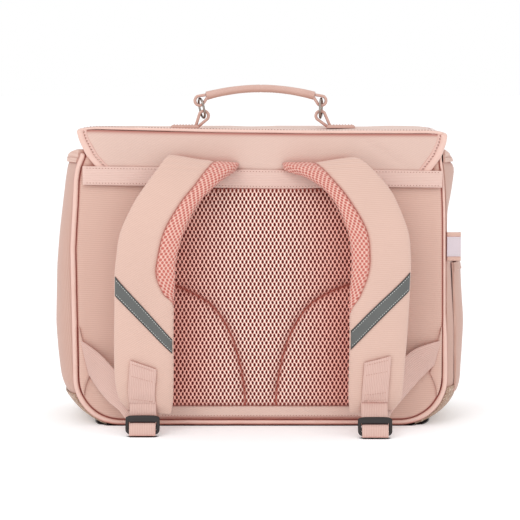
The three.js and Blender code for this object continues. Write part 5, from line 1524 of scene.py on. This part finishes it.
def makeAdjuster(side):
    # out of the anchor tab, behind the strap, round the middle bar and down to the floor
    sign = signOf[side]
    at, _, _ = buckleAt(side)
    apex = anchor["bottom"] + (anchor["top"] - anchor["bottom"]) / 3
    edge = halfWidth - 2 * body["pipingRadius"] - gap
    behind = at(0, buckle["lowerBar"], -buckle["thickness"] / 2 - gap - webbing["thickness"])
    rows = {key: np.array(values) for key, values in adjusterRows[side].items()}
    lean = anchor["reach"] * (anchor["top"] * (1 - rows["high"][0])) / (anchor["top"] - apex)
    start = np.array([sign * (edge - lean + 1.5), -panelFace - 2.4, 0])
    loose = np.stack([start[0] + (behind[0] - start[0]) * rows["side"], start[1] + (behind[1] - start[1]) * rows["out"],
                      anchor["top"] * rows["high"]], 1)
    tilt = rows["lean"] * math.pi / 2
    acrossRows = np.stack([sign * np.sin(tilt), 0 * tilt, -np.cos(tilt)], 1)
    radius = wrapRadius(buckle["middleBar"])
    turn = np.radians(np.linspace(0, 180, 7))
    wrap = at(0 * turn, middleBarMiddle + radius * np.sin(turn), -radius * np.cos(turn))
    end = at(0, 0, radius)
    end[2] = gap + webbing["thickness"] / 2
    near = at(0, middleBarMiddle * 0.5, radius)
    spine = np.concatenate([loose, [behind], wrap, [near, end]])
    flat = np.array([sign, 0, 0.0])
    across = np.concatenate([acrossRows, np.repeat(flat[None], len(spine) - len(loose), 0)])
    wide = np.concatenate([webbing["width"] * rows["wide"], np.full(len(spine) - len(loose), float(webbing["width"]))])
    table = np.concatenate([spine, across, wide[:, None]], 1)
    dense = throughRows(table, np.linspace(0, 1, 700))
    run = np.concatenate([[0], np.cumsum(np.linalg.norm(np.diff(dense[:, :3], axis=0), axis=1))])
    even = np.stack([np.interp(np.linspace(0, run[-1], 170), run, dense[:, k]) for k in range(7)], 1)
    t = np.linspace(-0.5, 0.5, 17)
    grid = even[:, None, :3] + unit(even[:, 3:6])[:, None] * (t[None] * even[:, 6:7])[..., None]
    loosePart = easeIn(run[-1] * (1 - np.linspace(0, 1, 170)), 30, 60)[:, None]
    curl = 1.1 * np.cos(t * math.pi)[None] * loosePart
    grid[..., 1] -= curl
    uv = np.stack(np.meshgrid(t * webbing["width"], np.linspace(0, run[-1], 170)), -1) * mm
    piece = makePiece(f"loose_webbing_{side}", [sheetPatch(grid, webbing["thickness"], uv, 0.35)], webbingCloth,
                      [f"adjuster_webbing_{side}"])


def makeAnchorTab(side):
    # a folded triangle of cloth sewn into the side seam, full in its middle
    sign = signOf[side]
    edge = halfWidth - 2 * body["pipingRadius"] - gap
    bend = body["cornerRadius"] - 2 * body["pipingRadius"] - gap
    apexZ = anchor["bottom"] + (anchor["top"] - anchor["bottom"]) / 3
    z = np.linspace(anchor["top"], anchor["bottom"], 60)
    drop = np.maximum(0, body["cornerRadius"] - z)
    curved = halfWidth - body["cornerRadius"] + np.sqrt(np.maximum(bend ** 2 - drop ** 2, 0)) - gap
    outer = np.where(drop > 0, curved, edge)
    reach = anchor["reach"] * np.where(z > apexZ, (anchor["top"] - z) / (anchor["top"] - apexZ),
                                       (z - anchor["bottom"]) / (apexZ - anchor["bottom"]))
    s = np.linspace(0, 1, 20)
    x = outer[:, None] - 0.4 - (reach[:, None] + 0.6) * s[None]
    zGrid = np.repeat(z[:, None], 20, 1)
    ends = np.minimum(1, np.minimum(anchor["top"] - zGrid, zGrid - anchor["bottom"]) / 6)
    crown = anchor["thickness"] * (0.35 + 0.6 * np.sqrt(np.clip(np.sin(s * math.pi)[None] * ends, 0, 1)))
    face = np.stack([sign * x, -panelFace - gap - crown, zGrid], -1)
    under = np.stack([sign * x, np.full_like(x, -panelFace - gap), zGrid], -1)
    piece = makePiece(f"side_tab_{side}", [wallPatch(face, under, np.stack([x, zGrid], -1) * mm)], panelCloth,
                      [f"anchor_tab_{side}"])


for side in signOf:
    makeBuckle(side)
    makeStrapWebbing(side)
    makeAdjuster(side)
    makeAnchorTab(side)
print("webbing made")


# Handle

grip = {"length": 112, "height": 334.6, "rise": 7.6, "radius": 4, "endRadius": 4.5}
link = {"height": 22.3, "width": 16, "wire": 1.2, "bottom": 310.6, "turn": {"left": 21, "right": -11},
        "lean": {"left": 4.4, "right": 0.8}}
loop = {"width": 8, "radius": 6, "hole": 3.3, "wall": 3.1}
handlePatch = {"length": 30, "width": 18, "thickness": 3.2}
gripTip = grip["length"] / 2 + grip["endRadius"] * math.sin(math.atan(4 * grip["rise"] / grip["length"]))
linkX = gripTip + gap + loop["radius"]
upperLoopZ = link["bottom"] + link["height"] - loop["hole"]
lowerLoopZ = link["bottom"] + loop["hole"]


def makeGrip():
    # a rolled tube on a shallow arch, fuller at its ends, its seam and stitches below
    share = np.linspace(-1, 1, 120)
    path = np.stack([grip["length"] / 2 * share, 0 * share, grip["height"] + grip["rise"] * (1 - share ** 2)], 1)
    radius = grip["radius"] + (grip["endRadius"] - grip["radius"]) * np.abs(share) ** 3
    radius = radius * (1 + 0.012 * ripples(path, 14, 91)) - 0.25 * np.exp(-((share - 0.01) / 0.02) ** 2)
    turn = np.linspace(0, 2 * math.pi, 28, endpoint=False)
    # the path runs along +X, so a quarter turn points up
    seam = np.exp(-((np.mod(turn + math.pi / 2 + math.pi, 2 * math.pi) - math.pi) / 0.16) ** 2)
    ring = 1 - 0.12 * seam
    profile = np.stack([np.cos(turn), np.sin(turn)], -1)[None] * (radius[:, None] * ring[None])[..., None]
    rings = roundedEnds(sweep(path, np.array([0, 1.0, 0]), profile), 0.7, 4)
    makePiece("grip_roll", [loftPatch(rings)], handleLeather, ["handle_grip"])
    below = np.array([0, 0, -1.0]) * (radius * 0.9)[:, None]
    makePiece("grip_stitch", [stitchPatch((path + below)[4:-4], np.array([0, 0, -1.0]))], threadDark)


def stripLoop(centre, from_, wall, wide, startGap, count=60):
    # a leather strip that runs round a link and back, seen from its side, as a closed band
    toward = math.atan2(from_[1] - centre[1], from_[0] - centre[0])
    reach = math.hypot(from_[0] - centre[0], from_[1] - centre[1])
    middle = (loop["radius"] + loop["hole"]) / 2 + 0.25
    turn = np.linspace(toward + 0.42 * math.pi, toward + 1.58 * math.pi, count)
    arc = np.stack([centre[0] + middle * np.cos(turn), 0 * turn, centre[1] + middle * np.sin(turn)], 1)
    ahead = np.array([math.cos(toward), 0, math.sin(toward)])
    left = np.array([-math.sin(toward), 0, math.cos(toward)])
    tip = np.array([centre[0], 0, centre[1]]) + ahead * reach
    path = alongCurve(np.concatenate([[tip + left * startGap], arc[::6], [arc[-1]], [tip - left * startGap]]), count)
    return sweep(path, np.array([0, 1.0, 0]), roundProfile(wide, wall, 5, 20))


def makeLoops(side):
    # the leather loops of one handle end
    sign = signOf[side]
    centre = (sign * linkX, upperLoopZ)
    rings = stripLoop(centre, (sign * (gripTip - 0.9), grip["height"] - 0.2), loop["wall"], loop["width"] - 0.4, 1.5)
    makePiece(f"grip_loop_{side}", [loftPatch(rings)], handleLeather, [f"handle_loop_{side}"])
    # the patch on the flap's top, whose inner end rises into the lower loop
    bottom = flap["top"] + flap["dome"] + flap["thickness"] / 2 + gap / 2
    low = linkX - link["lean"][side]
    start = low + loop["radius"] * 0.75 if side == "left" else low + loop["radius"]
    s, t = np.meshgrid(np.linspace(-1, 1, 50), np.linspace(-1, 1, 34))
    squareS = s * np.sqrt(1 - 0.12 * t ** 4)
    squareT = t * np.sqrt(1 - 0.12 * s ** 4)
    x = sign * (start + handlePatch["length"] / 2 + squareS * handlePatch["length"] / 2)
    y = squareT * handlePatch["width"] / 2
    rim = np.minimum((1 - np.abs(s)) * handlePatch["length"] / 2, (1 - np.abs(t)) * handlePatch["width"] / 2)
    top = bottom + handlePatch["thickness"] * np.sqrt(np.clip(0.25 + rim / 1.6, 0, 1))
    top = top + 0.08 * ripples(np.stack([x, y, y], -1), 9, 95)
    upper, lower = np.stack([x, y, top], -1), np.stack([x, y, np.full_like(x, bottom)], -1)
    patch = wallPatch(upper, lower, np.stack([x, y], -1) * mm)
    lowLoop = stripLoop((sign * low, lowerLoopZ), (sign * (start + 3.4), bottom + 1.2), loop["wall"],
                        loop["width"] - 0.4, 0.9)
    makePiece(f"top_patch_{side}", [patch, loftPatch(lowLoop)], handleLeather, [f"handle_anchor_{side}"])
    corners = np.array([[-1, -1], [1, -1], [1, 1], [-1, 1], [-1, -1]]) * 0.80
    stretches = [np.linspace(a, b, 30, endpoint=False) for a, b in zip(corners[:-1], corners[1:])]
    ringPath = np.concatenate(stretches + [corners[-1:]])
    line = np.stack([sign * (start + handlePatch["length"] / 2 * (1 + ringPath[:, 0])),
                     ringPath[:, 1] * handlePatch["width"] / 2,
                     np.full(len(ringPath), bottom + handlePatch["thickness"] + 0.05)], 1)
    makePiece(f"top_patch_stitch_{side}", [stitchPatch(line, np.array([0, 0, 1.0]))], threadDark)


def makeLink(side):
    # round wire bent into an oval that stands in both loops
    turn = np.linspace(0, 2 * math.pi, 72, endpoint=False)
    halfX, stretch = link["width"] / 2 - link["wire"], (link["height"] - link["width"]) / 2
    across = halfX * np.cos(turn)
    high = halfX * np.sin(turn) + stretch * np.tanh(3 * np.sin(turn))
    angle = math.pi / 2 + math.radians(link["turn"][side])
    way = np.array([math.cos(angle), math.sin(angle), 0])
    middle = np.array([signOf[side] * linkX, 0, link["bottom"] + link["height"] / 2])
    path = middle + across[:, None] * way + high[:, None] * np.array([0, 0, 1.0])
    path[:, 0] -= signOf[side] * link["lean"][side] * np.clip(0.5 - high / link["height"], 0, 1)
    face = np.array([-math.sin(angle), math.cos(angle), 0])
    rings = sweep(path, face, roundProfile(2 * link["wire"], 2 * link["wire"], 2, 16), ring=True)
    makePiece(f"steel_link_{side}", [ringPatch(rings)], polishedSteel, [f"handle_link_{side}"])


makeGrip()
for side in signOf:
    makeLoops(side)
    makeLink(side)
print("handle made")


# Side pocket, corner patches and clasps

pocket = {"top": 165, "bottom": 32, "reach": 4.8, "wall": 2, "margin": 13, "bindingHeight": 9}
tab = {"width": 14.5, "height": 29, "thickness": 2.6, "top": 197.5, "labelHeight": 20, "labelThickness": 0.7}
cornerPatch = {"top": {"left": 32, "right": 39}, "end": 72, "thickness": 1.2}
clasp = {"offset": 88, "width": 34, "height": 38, "thickness": 5}


def makePocket():
    # a bellows pocket on the right wall, open at its top, a bound edge round its mouth
    z = np.linspace(pocket["top"], pocket["bottom"], 70)
    drop = np.maximum(0, body["cornerRadius"] - z) / body["cornerRadius"]
    x = halfWidth - body["cornerRadius"] + body["cornerRadius"] * np.sqrt(1 - drop ** 2)
    margin = pocket["margin"] / (2 * gussetEdge)
    share = margin + depthShares * (1 - 2 * margin)
    foot = np.minimum(1, (z - pocket["bottom"]) / (0.6 * (pocket["top"] - pocket["bottom"])))
    fromMiddle = np.abs(2 * depthShares - 1)

    def skin(offset):
        # the swollen wall moved out by the reach, most at its middle
        off = pocket["reach"] * np.sin(foot * math.pi / 2)[:, None] * (1 - fromMiddle[None] ** 4)
        grid = np.stack(np.broadcast_arrays(
            x[:, None] + swell(x[:, None], z[:, None], share[None]) + off + offset,
            gussetEdge * (2 * share[None] - 1), z[:, None]), -1)
        grid[..., 0] -= backPull(grid[..., 0], grid[..., 2]) * np.exp(-((share[None] / 0.16) ** 2))
        grid[..., 0] += (0.5 * ripples(grid * [1, 1, 0.6], 30, 101)) * (1 - fromMiddle[None] ** 6) * foot[:, None]
        return grid

    near = 3 * gap
    outer, inner = skin(near + pocket["wall"]), skin(near)
    uv = np.stack(np.meshgrid(share * 2 * gussetEdge, pocket["top"] - z), -1) * mm
    edge = int(np.argmin(np.abs(pocket["top"] - z - pocket["bindingHeight"])))
    rise = 0.7 * np.sqrt(np.clip(np.minimum(np.arange(edge + 1), np.arange(edge, -1, -1)) / 1.5, 0, 1))[:, None, None]
    normal = np.array([1.0, 0, 0])
    binding = wallPatch(outer[:edge + 1] + (rise + 0.1) * normal, outer[:edge + 1] - 0.2 * normal, uv[:edge + 1])
    piece = makePiece("side_pocket_cloth", [wallPatch(outer, inner, uv), binding], shadedSideCloth, ["side_pocket"])
    row = outer[edge - 1, 3:-3] + 0.9 * normal
    makePiece("side_pocket_stitch", [stitchPatch(row, normal)], threadPink)


def roundedSlab(low, high, facing, edge, rows=24, columns=24):
    # a flat plate with round edges, its face towards -Y
    u, v = np.meshgrid(np.linspace(-1, 1, columns), np.linspace(-1, 1, rows))
    x = (low[0] + high[0]) / 2 + u * (high[0] - low[0]) / 2
    z = (low[2] + high[2]) / 2 + v * (high[2] - low[2]) / 2
    rim = np.minimum((1 - np.abs(u)) * (high[0] - low[0]) / 2, (1 - np.abs(v)) * (high[2] - low[2]) / 2)
    fall = edge * (1 - np.sqrt(np.clip(rim / edge, 0, 1)))
    front = np.stack([x, low[1] + fall * 0.9 if facing < 0 else high[1] - fall * 0.9, z], -1)
    back = np.stack([x, np.full_like(x, high[1] if facing < 0 else low[1]), z], -1)
    return front, back, np.stack([x, z], -1) * mm


def makeTab():
    # the pocket's tab with its bare label
    x0 = halfWidth + gap - body["tabTuck"]
    y1 = -gussetEdge - gap
    low = np.array([x0, y1 - tab["thickness"], tab["top"] - tab["height"]])
    high = np.array([x0 + tab["width"], y1, tab["top"]])
    front, back, uv = roundedSlab(low, high, -1, 1.1, 40, 24)
    front[..., 1] += 0.3 * ripples(front, 14, 111)
    makePiece("pocket_tab_fold", [wallPatch(front, back, uv)], panelCloth, ["pocket_tab"])
    face = y1 - tab["thickness"] - gap
    middle = tab["top"] - tab["height"] / 2
    low = np.array([x0 + gap, face - tab["labelThickness"], middle - tab["labelHeight"] / 2])
    high = np.array([x0 + tab["width"] - gap, face + 0.2, middle + tab["labelHeight"] / 2])
    front, back, uv = roundedSlab(low, high, -1, 0.4)
    makePiece("pocket_label_bare", [wallPatch(front, back, uv)], labelCloth, ["pocket_label"])
    ends = []
    for place in (1.6, tab["labelHeight"] - 1.6):
        line = np.stack([np.linspace(low[0] + 0.8, high[0] - 0.8, 12), np.full(12, low[1]),
                         np.full(12, low[2] + place)], 1)
        ends.append(stitchPatch(line, np.array([0, -1.0, 0]), pitch=2.2, length=1.6, radius=0.2))
    makePiece("pocket_label_stitch", ends, threadWhite)


def makeCornerPatch(side):
    # glitter leather round a lower corner of the side wall, sewn along both its ends
    centre, radius = halfWidth - body["cornerRadius"], body["cornerRadius"]
    from_ = math.asin(1 - cornerPatch["top"][side] / radius)
    turn = np.linspace(from_, math.radians(cornerPatch["end"]), 40)
    sign = signOf[side]
    outline = (sign * (centre + radius * np.cos(turn)), radius * (1 - np.sin(turn)), sign * np.cos(turn), -np.sin(turn))
    near = 2.5 * gap
    share = 0.004 + depthShares * 0.992
    outer = onGusset(outline, share, near + cornerPatch["thickness"])
    inner = onGusset(outline, share, near - 0.35)
    makePiece(f"corner_leather_{side}", [wallPatch(outer, inner, gridUv(outer))], patchHide,
              [f"corner_patch_{side}"])
    rows = []
    for i in (3, 36):
        out = np.array([outline[2][i], 0, outline[3][i]])
        rows.append(stitchPatch(outer[i, 2:-2], out, pitch=3.4, length=2.4, radius=0.34))
    makePiece(f"corner_stitch_{side}", rows, threadPink)


def makeClasp(side):
    # a plain plate: its upper half on the flap's bound edge, its lower half on the front
    face = flapFrontY + flap["bindingThickness"] / 2 + gap
    edge = flap["frontBottom"] - gap
    bottom = edge - clasp["height"] / 2 + flap["bindingWidth"]
    back = panelFace + gap
    top = bottom + clasp["height"]
    middle = signOf[side] * clasp["offset"]
    patches = []
    for low, high, rest in ((edge, top, face), (bottom, edge + 0.01, back)):
        u, v = np.meshgrid(np.linspace(-1, 1, 40), np.linspace(0, 1, 30))
        x = middle + u * clasp["width"] / 2
        z = low + (high - low) * v
        rim = np.minimum((1 - np.abs(u)) * clasp["width"] / 2, np.where(rest == face, high - z, z - low))
        raised = clasp["thickness"] * (0.45 + 0.35 * np.sqrt(np.clip(rim / 2.5, 0, 1)))
        oval = ((x - middle) / 9) ** 2 + ((z - (bottom + top) / 2) / 12) ** 2
        raised = raised + clasp["thickness"] * 0.2 * (1 - easeIn(oval, 0.75, 1.1))
        front = np.stack([x, face + raised, z], -1)
        patches.append(wallPatch(front, np.stack([x, np.full_like(x, rest), z], -1), np.stack([x, z], -1) * mm))
    makePiece(f"front_clasp_{side}", patches, polishedSteel, [f"clasp_{side}"])


makePocket()
makeTab()
for side in signOf:
    makeCornerPatch(side)
    makeClasp(side)
print("pocket, patches and clasps made")


# Floor, light and camera

studio = {
    "worldStrength": 1.0, "cameraDistance": 1.9, "cameraHeight": 0.35, "aimHeight": 0.1697, "focal": 130.6,
    "keyPower": 20, "topPower": 3, "frontPower": 6, "floorGlow": 0.2,
}


def makeStudio():
    # pale floor with a painted contact shadow, white surroundings, three soft lights and the camera
    mesh = bpy.data.meshes.new("floor")
    far = 40.0
    mesh.from_pydata([(-far, -far, 0), (far, -far, 0), (far, far, 0), (-far, far, 0)], [], [(0, 1, 2, 3)])
    material, tree, sockets, _, place = newMaterial("pale floor", **{"Roughness": 0.8, "Specular IOR Level": 0.1})
    contactShadowOcclusion = tree.nodes.new("ShaderNodeAmbientOcclusion")
    contactShadowOcclusion.samples = 8
    contactShadowOcclusion.inputs["Distance"].default_value = 0.004
    # painted contact shadow: where the bag closes off the floor's sky, the floor is painted near black and its glow is
    # withheld
    dark = ease(tree, contactShadowOcclusion.outputs["AO"], 0.85, 0.6)
    ground = toned(tree, (0.88, 0.885, 0.895, 1), 0.01, 2.0, place)
    wire(tree, sockets["Base Color"], blendColour(tree, dark, ground, (0.03, 0.02, 0.02, 1)))
    wire(tree, sockets["Emission Color"], blendColour(tree, dark, (1, 1, 1, 1), (0, 0, 0, 1)))
    sockets["Emission Strength"].default_value = studio["floorGlow"]
    mesh.materials.append(material)
    floor = bpy.data.objects.new("floor", mesh)
    bpy.context.scene.collection.objects.link(floor)
    floor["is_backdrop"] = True
    world = bpy.data.worlds.new("studio")
    world.use_nodes = True
    world.node_tree.nodes["Background"].inputs["Color"].default_value = (1, 1, 1, 1)
    world.node_tree.nodes["Background"].inputs["Strength"].default_value = studio["worldStrength"]
    bpy.context.scene.world = world
    for name, place, aim, size, power in (
            ("key", (-1.2, -2.2, 2.2), (0, 0, 0.15), 1.6, studio["keyPower"]),
            ("front", (0.3, -2.6, 0.5), (0, 0, 0.15), 1.4, studio["frontPower"]),
            ("top", (0.4, 0.2, 2.4), (0, 0, 0), 2.0, studio["topPower"])):
        light = bpy.data.lights.new(name, "AREA")
        light.size = size
        light.energy = power
        lamp = bpy.data.objects.new(name, light)
        lamp.location = place
        way = np.array(aim) - np.array(place)
        lamp.rotation_euler = (math.acos(-way[2] / np.linalg.norm(way)), 0, math.atan2(way[1], way[0]) - math.pi / 2)
        bpy.context.scene.collection.objects.link(lamp)
    camera = bpy.data.cameras.new("camera")
    camera.lens = studio["focal"]
    camera.sensor_width = 36
    camera.sensor_fit = "HORIZONTAL"
    eye = bpy.data.objects.new("camera", camera)
    distance = halfDepth * mm + studio["cameraDistance"]
    eye.location = (-0.0005, -distance, studio["cameraHeight"])
    pitch = math.atan2(studio["cameraHeight"] - studio["aimHeight"], studio["cameraDistance"])
    eye.rotation_euler = (math.pi / 2 - pitch, 0, 0)
    bpy.context.scene.collection.objects.link(eye)
    bpy.context.scene.camera = eye
    bpy.context.scene.view_settings.view_transform = "Standard"


makeStudio()
print("studio made")

asLists = lambda box: [[float(v) for v in corner] for corner in box]
{"cad": asLists(cadBounds), "scene": asLists(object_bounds())}
